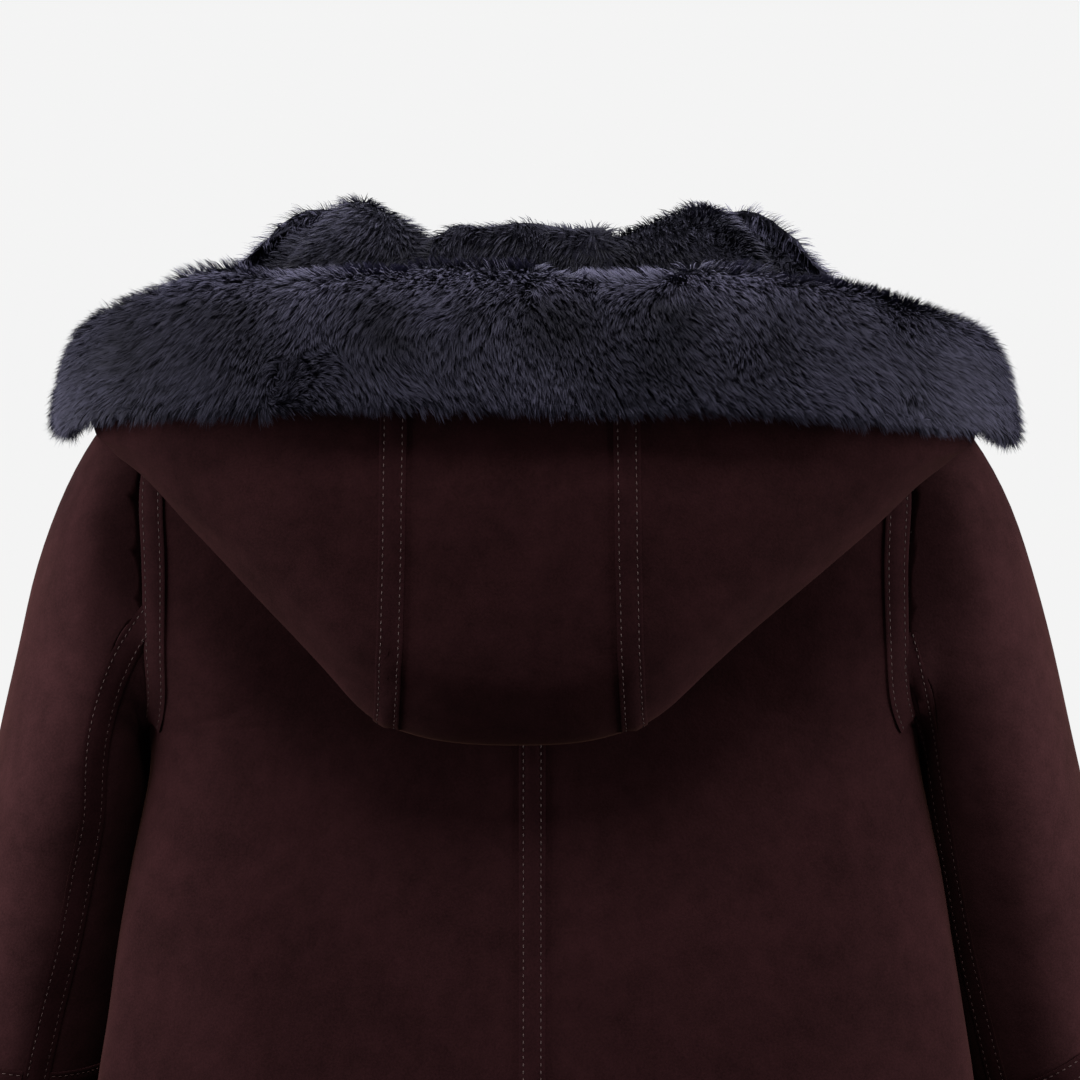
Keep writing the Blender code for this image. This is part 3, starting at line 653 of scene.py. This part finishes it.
def resampled(line, count, values=None):
    """The line, or values given at its points, at evenly spaced places along it."""
    run = run_of(line)
    values = line if values is None else values
    at = np.linspace(0, run[-1], count)
    return np.stack([np.interp(at, run, values[:, axis]) for axis in range(3)], axis=1)


def evened(rows, rounds):
    """Rows of points or ways evened out along a strap, so a step in the cloth becomes a slope."""
    for _ in range(rounds):
        rows[1:-1] = 0.5 * rows[1:-1] + 0.25 * (rows[:-2] + rows[2:])
    return rows


def strap_rails(bm):
    """The two long edges of a strap's outer side, as arrays of points that run the same way."""
    outer = {f for f in bm.faces if f.material_index == SUEDE_SIDE}
    rim = [e for e in {e: None for f in bm.faces if f in outer for e in f.edges}
           if sum(f in outer for f in e.link_faces) == 1]
    following = {}
    for edge in rim:
        for vert in edge.verts:
            following.setdefault(vert, []).append(edge)
    vert, edge, loop = rim[0].verts[0], rim[0], []
    for _ in rim:
        loop.append(vert)
        vert = edge.other_vert(vert)
        edge = next(e for e in following[vert] if e is not edge)
    places = np.array([v.co for v in loop])
    back = places - np.roll(places, 1, axis=0)
    ahead = np.roll(places, -1, axis=0) - places
    corners = sorted(np.argsort(1 - (unit(back) * unit(ahead)).sum(axis=1))[-4:])
    sides = [places[np.arange(first, last + 1) % len(places)]
             for first, last in zip(corners, corners[1:] + [corners[0] + len(places)])]
    length = [length_of(side) for side in sides]
    a, b = (0, 2) if length[0] + length[2] > length[1] + length[3] else (1, 3)
    return sides[a], sides[b][::-1]


def started_at(starts, centre, half, ways):
    """The strap with its first stretch drawn again through these points, on the cloth as seen from behind."""
    if centre[0, 2] < centre[-1, 2]:
        centre, half, ways = centre[::-1], half[::-1], ways[::-1]
    seen = [suede_tree.ray_cast(Vector((x * MM, BEHIND, z * MM)), Vector((0, -1, 0)))[0] for x, z in starts]
    rest = centre[:, 2] < starts[-1][1] * MM - JOIN
    line = np.concatenate([np.array(seen), centre[rest]])
    tilt = np.concatenate([[normal_near(place) for place in seen], ways[rest]])
    fresh = resampled(line, len(centre))
    fresh_ways = unit(resampled(line, len(centre), tilt))
    fresh = evened(fresh, 2)
    across = unit(np.cross(fresh_ways, np.gradient(fresh, axis=0)))
    return fresh, across * np.sign(across[-1] @ half[-1]), fresh_ways


def strap_course(node):
    """A strap's middle line, and its ways across and out at each point of it."""
    bm = merged(node)
    broadest = max(bm.faces, key=lambda f: f.calc_area())
    label_sides(bm, normal_near(broadest.calc_center_median()))
    rails = strap_rails(bm)
    outer = max((f for f in bm.faces if f.material_index == SUEDE_SIDE), key=lambda f: f.calc_area())
    out_way, out_at = np.array(outer.normal), np.array(outer.calc_center_median())
    bm.free()
    count = max(int(max(length_of(rail) for rail in rails) / STEP), 8)
    first, second = (resampled(rail, count) for rail in rails)
    centre, half = (first + second) / 2, unit(first - second)
    ways = unit(np.cross(np.gradient(centre, axis=0), half))
    nearest = np.argmin(np.linalg.norm(centre - out_at, axis=1))
    if ways[nearest] @ out_way < 0:
        ways = -ways
    if node in STRAP_STARTS:
        centre, half, ways = started_at(STRAP_STARTS[node], centre, half, ways)
    return centre, half, ways


courses = {node: strap_course(node) for node in STRAPS}
print("straps, metres long:", *(f"{length_of(centre):.3f}" for centre, _, _ in courses.values()))

# %% [markdown]
# Each point is laid on the suede straight under it, or stays where it is if there is none. Where a strap
# crosses a step between two pieces, its rows are evened out.

# %% Lay the straps on the cloth
STRAP_HALF, STRAP_TOP, STRAP_THICK = 7.25 * MM, 1.45 * MM, 1.1 * MM
ROW_FROM_MIDDLE = 4.7 * MM              # of the stitches
CHANNEL_WIDE, CHANNEL_DEEP = 0.8 * MM, 0.30 * MM
ACROSS = np.array([-7.25, -6.6, -5.5, -4.7, -3.9, 0, 3.9, 4.7, 5.5, 6.6, 7.25]) * MM
STITCH_COLUMNS = (3, 7)                 # of ACROSS, where the channels are
LOOK_FROM, LOOK_TO = 3.0 * MM, 9.0 * MM     # above the course, and down from there
STEPS_EVENED = 4                        # rounds, where a strap crosses a step
TUCKED = 15 * MM                        # a sleeve strap comes out from under the armhole strap over this


def laid_on(point, out_way):
    """Where a point of a strap lies on the cloth, and the normal there."""
    hit, _, face, _ = suede_tree.ray_cast(Vector(point + out_way * LOOK_FROM), Vector(-out_way), LOOK_TO)
    if hit is not None:
        normal = smooth_normal(face, hit)
        if normal @ out_way > 0.5:
            return np.array(hit), normal
    return point - out_way * STRAP_TOP, out_way


def strap_height(off_middle):
    """How far a strap's face stands off the cloth, at this distance from its middle line."""
    edge = 1 - 0.25 * (abs(off_middle) / STRAP_HALF) ** 6
    channel = sum(math.exp(-((off_middle - way * ROW_FROM_MIDDLE) / CHANNEL_WIDE) ** 2) for way in (1, -1))
    return STRAP_TOP * edge - CHANNEL_DEEP * channel


def strap_mesh(bed, lean, rise):
    """A strap on its bed as a bmesh: a grid over it, turned the right way out and made solid."""
    grid = bmesh.new()
    bmesh.ops.create_grid(grid, x_segments=len(ACROSS) - 1, y_segments=len(bed) - 1, size=1)
    cells = sorted(grid.verts, key=lambda v: (round(v.co.y, 5), round(v.co.x, 5)))
    for k, vert in enumerate(cells):
        i, j = divmod(k, len(ACROSS))
        vert.co = bed[i, j] + lean[i, j] * strap_height(ACROSS[j]) * rise[i]
    bmesh.ops.recalc_face_normals(grid, faces=grid.faces)
    grid.normal_update()
    if np.array(cells[len(ACROSS) // 2].normal) @ lean[0, len(ACROSS) // 2] < 0:
        bmesh.ops.reverse_faces(grid, faces=grid.faces)
    bmesh.ops.solidify(grid, geom=grid.faces[:], thickness=STRAP_THICK)
    return grid


strap_beds, straps = {}, {}
for node, (centre, half, ways) in courses.items():
    laid = [[laid_on(at + side * off, way) for off in ACROSS] for at, side, way in zip(centre, half, ways)]
    laid = evened(np.array(laid), STEPS_EVENED if "armhole" in node or "sleeve" in node else 0)
    bed, lean = laid[:, :, 0], unit(laid[:, :, 1])
    rise = np.clip(run_of(centre) / TUCKED, 0.3, 1) if node in STRAP_STARTS else np.ones(len(centre))
    strap_beds[node] = (bed, lean, rise)
    straps[node] = smoothed(strap_mesh(bed, lean, rise), f"{node}_cloth", (suede_strap,), 0)
print("straps laid:", len(straps))

# %% [markdown]
# ## Topstitching
# The stitches are about four millimetres from one to the next, in a thread a little paler than the suede.
# One rounded stitch is shaped once, and copies of it are set along both rows of each strap, turned along
# the row and sunk into its channel, and joined in one piece.

# %% Sew both rows on every strap
PITCH = 4.0 * MM
STITCH = 2.5 * MM
THREAD = 0.36 * MM
PROUD = 0.10 * MM                       # a stitch's middle stands this far out of its channel


def one_stitch():
    """A rounded stitch along X, as (points, faces)."""
    bm = bmesh.new()
    bmesh.ops.create_uvsphere(bm, u_segments=4, v_segments=3, radius=1.0)
    bmesh.ops.rotate(bm, verts=bm.verts, matrix=Matrix.Rotation(math.radians(90), 3, "Y"))
    bmesh.ops.scale(bm, verts=bm.verts, vec=(STITCH / 2, THREAD, THREAD * 0.8))
    bmesh.ops.triangulate(bm, faces=bm.faces)
    points = np.array([v.co for v in bm.verts])
    faces = np.array([[v.index for v in f.verts] for f in bm.faces])
    bm.free()
    return points, faces


def joined_mesh(name, points, faces):
    """A smooth mesh of triangles from arrays."""
    mesh = bpy.data.meshes.new(name)
    mesh.from_pydata(points, [], faces, shade_flat=False)
    return mesh


def stitch_frames(node, column):
    """For each stitch of a strap's row: its middle and the three directions of its frame."""
    bed, lean, rise = strap_beds[node]
    path = bed[:, column] + lean[:, column] * (strap_height(ROW_FROM_MIDDLE) * rise + PROUD)[:, None]
    count = int(length_of(path) / PITCH)
    line = resampled(path, 2 * count + 1)
    tilt = resampled(path, 2 * count + 1, lean[:, column])
    for i in range(1, 2 * count, 2):
        ahead = unit(line[i + 1] - line[i - 1])
        normal = unit(tilt[i] - ahead * (ahead @ tilt[i]))
        yield line[i], np.stack([ahead, np.cross(normal, ahead), normal])


stitch_points, stitch_faces = one_stitch()
sewn = [stitch for node in STRAPS for column in STITCH_COLUMNS for stitch in stitch_frames(node, column)]
all_points = np.concatenate([stitch_points @ turn + place for place, turn in sewn])
all_faces = np.concatenate([stitch_faces + i * len(stitch_points) for i in range(len(sewn))])
topstitching = new_object("topstitching", joined_mesh("topstitching", all_points, all_faces), [thread])
print("stitches:", len(sewn))

# %% [markdown]
# ## The fur's ground
# Under the fur of the hood's turned-out edge is the knitted ground that the strands grow from. It is the
# CAD band drawn in, so the strands can reach out to the band's own surface, and the hood's pile side is
# sunk in the same way. A fixed depth would turn thin places inside out, so a ray measures the cloth first.

# %% Draw in the fur band and sink the hood's pile
GROUND_DEPTH, GROUND_SHARE = 7.5 * MM, 0.40     # how deep, and at most this share of what is there
PILE_DEPTH, PILE_SHARE = 5.0 * MM, 0.5
TUCK = 3 * MM                           # the band's lower edge is raised in the middle of the back
UNDER = 2e-4                            # metres: a ray through the cloth starts this far inside it


def through_to(tree, point, way, most):
    """How far it is from a point on the cloth to its other side, from just under its surface."""
    return tree.ray_cast(Vector(point + way * UNDER), Vector(way), most)[3] or 0.0


def drawn_in(mesh, depth, share):
    """Moves every point inwards by depth, or by this share of what is there if that is less."""
    tree, points, _ = one_tree([mesh])
    normals = read(mesh.vertices, "normal")
    most = np.array([min(depth, share * through_to(tree, point, -normal, 0.08))
                     for point, normal in zip(points, normals)])
    joined = [[] for _ in points]
    for edge in mesh.edges:
        a, b = edge.vertices
        joined[a].append(b)
        joined[b].append(a)
    move = most
    for _ in range(6):
        move = np.minimum([0.5 * move[i] + 0.5 * move[j].mean() for i, j in enumerate(joined)], most)
    set_points(mesh, points - normals * move[:, None])


def sunk_pile(mesh, depth, share):
    """Moves the pile side towards the suede, by depth or by this share of the cloth, to make room for fur."""
    tree, points, _ = one_tree([mesh])
    way = outwards(mesh)
    for i in {v for f in mesh.polygons if f.material_index == PILE_SIDE for v in f.vertices}:
        points[i] += way[i] * min(depth, share * through_to(tree, points[i], way[i], 0.03))
    set_points(mesh, points)


for node in ("hood_left", "hood_right", "hood_centre"):
    sunk_pile(cloth[node].data, PILE_DEPTH, PILE_SHARE)
band = smoothed(merged("hood_cuff"), "hood_cuff_ground", (undercoat,))
drawn_in(band.data, GROUND_DEPTH, GROUND_SHARE)
band_points = points_of(band.data)
band_points[:, 2] += TUCK * (slope(-band_points[:, 2] / MM, 50, 20) * hill(band_points[:, 0] / MM, 0, 120))
set_points(band.data, band_points)
print("fur ground:", len(band.data.polygons), "faces")

# %% [markdown]
# ## Fur strands
# The fur is a plush: a dense short underfur that stands half up, each strand one narrow triangle, and
# longer hairs that bend over, each a ribbon of three, which lets a piece carry a hundred thousand strands.
# The fur lies mostly downwards but swirls, so a smooth random field turns the comb direction, and
# neighbouring tips gather in small locks. Hair takes the light across its length, so a strand's normal is
# the ground's, less the part along the strand.

# %% Place and comb strands
HAIR_SHARE = 0.3                        # of the strands that are long hairs
LONG, SHORT = 1.12, 0.86                # a hair's length and an underfur strand's, of the length asked for
LOCK_AREA = 12 * MM * MM                # of ground to each lock
LOCK_REACH, LOCK_PULL = 4.0 * MM, 0.42  # how near its leader a tip is drawn in, and how far
STRAY = 0.30                            # how far single strands leave the comb
DROOP, BEND = 0.08, 0.10                # of a strand's length: its tip hangs, and its middle stands out


def roots_on(points, faces, count, seed):
    """Random places on triangles, evenly by area: (places, corners, shares, area)."""
    a, b, c = (points[faces[:, i]] for i in range(3))
    areas = 0.5 * np.linalg.norm(np.cross(b - a, c - a), axis=1)
    dice = np.random.default_rng(seed)
    corners = faces[dice.choice(len(faces), count, p=areas / areas.sum())]
    u, v = dice.uniform(size=(2, count))
    flip = u + v > 1
    u[flip], v[flip] = 1 - u[flip], 1 - v[flip]
    share = np.stack([1 - u - v, u, v], axis=1)
    return (points[corners] * share[:, :, None]).sum(axis=1), corners, share, areas.sum()


def part_along(vectors, normals):
    """How much of each vector is along its normal."""
    return (vectors * normals).sum(axis=1, keepdims=True)


def comb(places, normals, down, seed):
    """The way the fur lies at each root: a base direction turned by swirls, flat on the ground."""
    swirl = np.stack([soft_noise(places, 0.060, seed + k) for k in range(3)], axis=1)
    small = np.stack([soft_noise(places, 0.022, seed + 10 + k) for k in range(3)], axis=1)
    lie = down + 0.95 * swirl + 0.55 * small
    return unit(lie - normals * part_along(lie, normals))


def lock_of(places, area, dice):
    """For each strand, the strand that leads its lock, the lock's number, and how far off that strand is."""
    leaders = dice.choice(len(places), max(int(area / LOCK_AREA), 4), replace=False)
    tree = KDTree(len(leaders))
    for i, leader in enumerate(leaders):
        tree.insert(places[leader], i)
    tree.balance()
    mine = np.array([tree.find(p)[1] for p in places])
    return leaders[mine], mine, np.linalg.norm(places - places[leaders[mine]], axis=1)


# %% [markdown]
# A strand that would come out through the suede isn't grown, and inside the hood neither is one whose tip
# would be outside.

# %% Grow strands
def strand_mesh(name, parts, short, long_hair, shade, tone):
    """A joined mesh of strands. parts: the left and right root, the left and right middle, and the tip."""
    left, right, _, _, tips = parts
    under = np.stack([left[short], right[short], tips[short]], axis=1).reshape(-1, 3)
    over = np.stack([part[long_hair] for part in parts], axis=1).reshape(-1, 3)
    ribbon = np.array([[0, 1, 3], [0, 3, 2], [2, 3, 4]])
    ribbons = (ribbon[None] + 5 * np.arange(long_hair.sum())[:, None, None]).reshape(-1, 3) + len(under)
    faces = np.concatenate([np.arange(len(under)).reshape(-1, 3), ribbons])
    mesh = joined_mesh(name, np.concatenate([under, over]), faces)
    of_strand = np.concatenate([np.repeat(np.flatnonzero(short), 3), np.repeat(np.flatnonzero(long_hair), 5)])
    along = np.concatenate([np.tile([0.0, 0.0, 1.0], short.sum()),
                            np.tile([0.0, 0.0, 0.6, 0.6, 1.0], long_hair.sum())])
    tone = np.clip(tone / TONE_SCALE, 0, 1)[of_strand]
    hair = np.stack([along, tone, 0 * along, 0 * along + 1], axis=1)
    layer = mesh.color_attributes.new("hair", "FLOAT_COLOR", "POINT")
    layer.data.foreach_set("color", hair.astype(np.float32).ravel())
    mesh.normals_split_custom_set_from_vertices(shade[of_strand])
    return mesh


def grow(name, ground, count, seed, kind):
    """A piece of fur: strands of this kind on a ground, given as (points, triangles, normals)."""
    points, faces, normals = ground
    places, corners, share, area = roots_on(points, faces, count, seed)
    normals = unit((normals[corners] * share[:, :, None]).sum(axis=1))
    dice = np.random.default_rng(seed + 50)
    long_hair = dice.uniform(size=count) < HAIR_SHARE
    lie = comb(places, normals, kind["comb"](places, normals), seed)
    wild = unit(dice.normal(size=(count, 3)))
    stand = kind["lift"] * (1 + 0.45 * soft_noise(places, 0.045, seed + 20))[:, None]
    aim = unit(lie + normals * stand + STRAY * wild)
    reach = kind["length"] * dice.uniform(0.8, 1.1, count) * np.where(long_hair, LONG, SHORT)
    reach = (reach * (1 + 0.15 * soft_noise(places, 0.03, seed + 21)))[:, None]
    tips = places + aim * reach - np.array([0, 0, DROOP]) * reach
    leader, lock, near = lock_of(places, area, dice)
    pull = (LOCK_PULL * np.exp(-(near / LOCK_REACH) ** 2))[:, None]
    tips = tips * (1 - pull) + tips[leader] * pull
    run = tips - places
    half = (kind["width"] * dice.uniform(0.75, 1.25, count) / 2)[:, None]
    across = unit(np.cross(run, normals + 0.8 * wild)) * half
    middles = places + run * 0.5 + normals * (reach * BEND)
    parts = (places - across, places + across, middles - across * 0.8, middles + across * 0.8, tips)
    shade = unit(normals - 0.45 * unit(run) * part_along(unit(run), normals) + 0.10 * wild)
    lock_tone = dice.uniform(0.88, 1.12, lock.max() + 1)[lock]
    tone = kind["tone"](places) * lock_tone * dice.uniform(0.85, 1.15, count)
    grown = np.array([suede_tree.ray_cast(Vector(root), Vector(way), Vector(way).length)[0] is None
                      for root, way in zip(places, run)])
    if kind.get("kept_in"):
        grown &= np.array([not outside_suede(tip) for tip in tips])
    print(f"{name}: {grown.sum()} of {count} strands on {area * 1e4:.0f} square centimetres")
    return new_object(name, strand_mesh(name, parts, ~long_hair & grown, long_hair & grown, shade, tone),
                      [fur])


def triangles_of(mesh):
    """The mesh's triangles and the face each belongs to."""
    mesh.calc_loop_triangles()
    triangles = mesh.loop_triangles
    return np.array([t.vertices[:] for t in triangles]), np.array([t.polygon_index for t in triangles])


def is_clear(middles, ways, start, free):
    """For each place, whether nothing of the coat is in front of it from start to this much farther."""
    return np.array([coat_tree.ray_cast(Vector(middle + way * start), Vector(way), free)[0] is None
                     for middle, way in zip(middles, ways)])


def open_ground(mesh, faces, free):
    """The triangles that have room in front of them, as a ground for fur."""
    points, normals = points_of(mesh), read(mesh.vertices, "normal")
    clear = is_clear(points[faces].mean(axis=1), unit(normals[faces].mean(axis=1)), 1.5 * MM, free)
    return points, faces[clear], normals


coat_tree, coat_points, _ = one_tree([piece.data for piece in [*cloth.values(), band]])
print("the coat has", len(coat_points), "points before its fur")

# %% [markdown]
# The band is split in four, so that no piece holds too many strands. Its back is what the photograph looks
# at, so the fur there is the densest, and none grows where the band rests on the hood. Its colour has painted
# shade and painted highlights in patches where the fur is parted or brushed up, it is paler where it is
# fluffed out at its lower edge, and its tips on the fold at the top carry a painted highlight.

# %% Fur of the turned-out band
BACK_FROM = 0.085                       # the band's back is behind this y
FLUFFED = 0.22                          # how much paler the lower edge is
# A painted highlight on the tips over the fold at the top: how pale they are drawn.
TOP_PAINTED_HIGHLIGHT = 2.2                          # how pale the tips on the fold are
# How strongly the patches of painted shade and painted highlight show.
PAINTED_PATCH_STRENGTH = 1.3                             # how strongly the brushing shows
# Painted shade where the fur is parted and painted highlights where it is brushed up, and painted shade at
# both ends where the side fills light the band: x, z, how far it spreads, how much.
PAINTED_PATCHES = ((73, -28, 19, -0.45), (-10, -28, 20, -0.45), (-71, -12, 19, -0.40), (-63, -42, 16, -0.30),
           (215, -36, 14, -0.20), (145, -25, 20, -0.20), (33, -17, 8, -0.25), (-133, -36, 11, -0.30),
           (-36, -66, 20, -0.20), (119, -17, 20, 0.35), (55, -12, 14, 0.30), (17, -4, 15, 0.20),
           (-100, -12, 25, 0.35), (-47, -7, 10, 0.30), (-186, -50, 42, 0.25), (178, -39, 26, 0.15),
           (-224, -39, 26, 0.15), (205, -40, 60, -0.42), (20, -35, 90, -0.10), (-215, -40, 50, -0.22))


def even_tone(places):
    """Soft patches, lighter and darker, as where the fur is brushed one way and the other."""
    return 1 + 0.22 * soft_noise(places, 0.05, 30) + 0.12 * soft_noise(places, 0.02, 31)


def band_comb(places, ways):
    """Down on the band's outside, away from its middle, and outwards over its top."""
    down = np.zeros_like(places) + [0, 0, -0.9]
    down[:, 0] += 2.2 * places[:, 0]
    outwards_way = unit(np.stack([places[:, 0] * 0.5, places[:, 1], np.zeros(len(places))], axis=1))
    return down + outwards_way * 0.45 * np.clip(ways[:, 2:], 0, 1)


def band_tone_and_painted_light(places):
    """The band's painted shade and highlight patches, with ragged edges, over the even tone, then paler at
    the lower edge and with a painted highlight on the tips at the top.
    """
    tone = even_tone(places)
    x = places[:, 0] / MM + 9 * soft_noise(places, 0.022, 41)
    z = places[:, 2] / MM + 9 * soft_noise(places, 0.022, 42)
    for at_x, at_z, spread, change in PAINTED_PATCHES:
        tone = tone * (1 + PAINTED_PATCH_STRENGTH * change * np.exp(-((x - at_x) ** 2 + (z - at_z) ** 2) / spread ** 2))
    tone = tone * (1 + FLUFFED * slope(-places[:, 2] / MM, 45, 15))
    # The tips on the fold at the top take a painted highlight.
    top = slope(places[:, 2] / MM, -14, 14)
    return tone * (1 - top) + TOP_PAINTED_HIGHLIGHT * even_tone(places) * top


BAND_FUR = {"length": 9.8 * MM, "width": 0.45 * MM, "lift": 1.1, "comb": band_comb, "tone": band_tone_and_painted_light}
band_points, band_faces, band_normals = open_ground(band.data, triangles_of(band.data)[0], 3 * MM)
band_middle = band_points[band_faces].mean(axis=1)
at_back, to_left = band_middle[:, 1] > BACK_FROM, band_middle[:, 0] > 0
fur_pieces = {}
for name, chosen, count, seed in (
        ("band_fur_back_left", at_back & to_left, 98000, 101),
        ("band_fur_back_right", at_back & ~to_left, 98000, 151),
        ("band_fur_left", ~at_back & to_left, 52000, 202),
        ("band_fur_right", ~at_back & ~to_left, 52000, 303)):
    fur_pieces[name] = grow(name, (band_points, band_faces[chosen], band_normals), count, seed, BAND_FUR)

# %% [markdown]
# Above the band the photograph shows the inside of the hood and its neck, and from above the whole bowl
# shows. The strands stand on the pile side of the hood wherever there is room in front of them.

# %% Fur inside the hood
def bowl_comb(places, ways):
    """Down into the hood."""
    return np.zeros_like(places) + [0, 0, -0.7]


def bowl_painted_shade(places):
    """Painted shade, darker down in the bowl and behind the band, fading to a painted highlight where the fur
    turns over the edge.
    """
    return even_tone(places) * np.clip(0.28 + 0.038 * (places[:, 2] / MM - 13), 0.28, 1.5)


BOWL_FUR = {"length": 9.0 * MM, "width": 0.6 * MM, "lift": 0.9, "comb": bowl_comb, "tone": bowl_painted_shade,
            "kept_in": True}
for node, count, seed in (("hood_left", 52000, 404), ("hood_right", 52000, 505), ("hood_centre", 34000, 606)):
    mesh = cloth[node].data
    faces, owner = triangles_of(mesh)
    ground = open_ground(mesh, faces[sides_of(mesh)[owner] == PILE_SIDE], 6 * MM)
    fur_pieces[f"{node}_fur"] = grow(f"{node}_fur", ground, count, seed, BOWL_FUR)

# %% [markdown]
# At the hem, the wrists and the front edges the cut edge shows the pile as a thin fringe of fur.

# %% Fringe at the hem, wrists and front edges
def fringe_comb(places, ways):
    """Outwards and down."""
    return ways * 0.2 + [0, 0, -0.4]


FRINGE = {"length": 4.5 * MM, "width": 0.5 * MM, "lift": 1.2, "comb": fringe_comb, "tone": even_tone}
corners, ways_out = [], []
for node in [n for n in cloth if n.split("_")[0] in ("back", "front", "forearm")]:
    mesh = cloth[node].data
    faces, owner = triangles_of(mesh)
    on_edge = sides_of(mesh)[owner] == CUT_EDGE
    triangles, ways = points_of(mesh)[faces[on_edge]], read(mesh.polygons, "normal")[owner][on_edge]
    clear = is_clear(triangles.mean(axis=1), ways, 1.2 * MM, 20 * MM)
    corners.append(triangles[clear].reshape(-1, 3))
    ways_out.append(np.repeat(ways[clear], 3, axis=0))
corners = np.concatenate(corners)
ground = (corners, np.arange(len(corners)).reshape(-1, 3), np.concatenate(ways_out))
fur_pieces["edge_fringe"] = grow("edge_fringe", ground, 14000, 707, FRINGE)

# %% [markdown]
# ## What each piece stands for
# Every piece rides on the coat's one body. The cloth pieces, the straps and the band replace their CAD
# nodes, and each cloth's cut size and area are looked up in a table.

# %% Ride and replace
CUTS = {   # width, length, area in square metres
    "back": (0.376, 0.980, 0.2345), "front": (0.384, 1.010, 0.2320),
    "sleeve_top": (0.380, 0.400, 0.0905), "sleeve_under": (0.215, 0.272, 0.0320),
    "forearm_top": (0.242, 0.246, 0.0520), "forearm_under": (0.141, 0.232, 0.0294),
    "hood": (0.550, 0.460, 0.0920), "hood_centre": (0.571, 0.133, 0.0642),
}
SEWN_ON = {"centre_back": "back_left", "armhole": "back", "sleeve": "sleeve_top", "elbow": "forearm_top",
           "hood": "hood"}

for node, piece in [*cloth.items(), *straps.items()]:
    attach(piece, "root")
    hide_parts(node)
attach(topstitching, "root")
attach(band, "root")
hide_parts("hood_cuff")
for piece in fur_pieces.values():
    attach(piece, "root")

sewn_on = {piece: [] for piece in cloth}
for strap in STRAPS:
    kind, side = strap.split("_strap")
    sewn_on[SEWN_ON[kind] + side].append(straps[strap])
for node, piece in cloth.items():
    kind, side = (node, "left") if node == "hood_centre" else node.rsplit("_", 1)
    width, length, area = CUTS[kind]
    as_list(sewn_on[node])
print("sheets declared:", len(cloth) + 1)
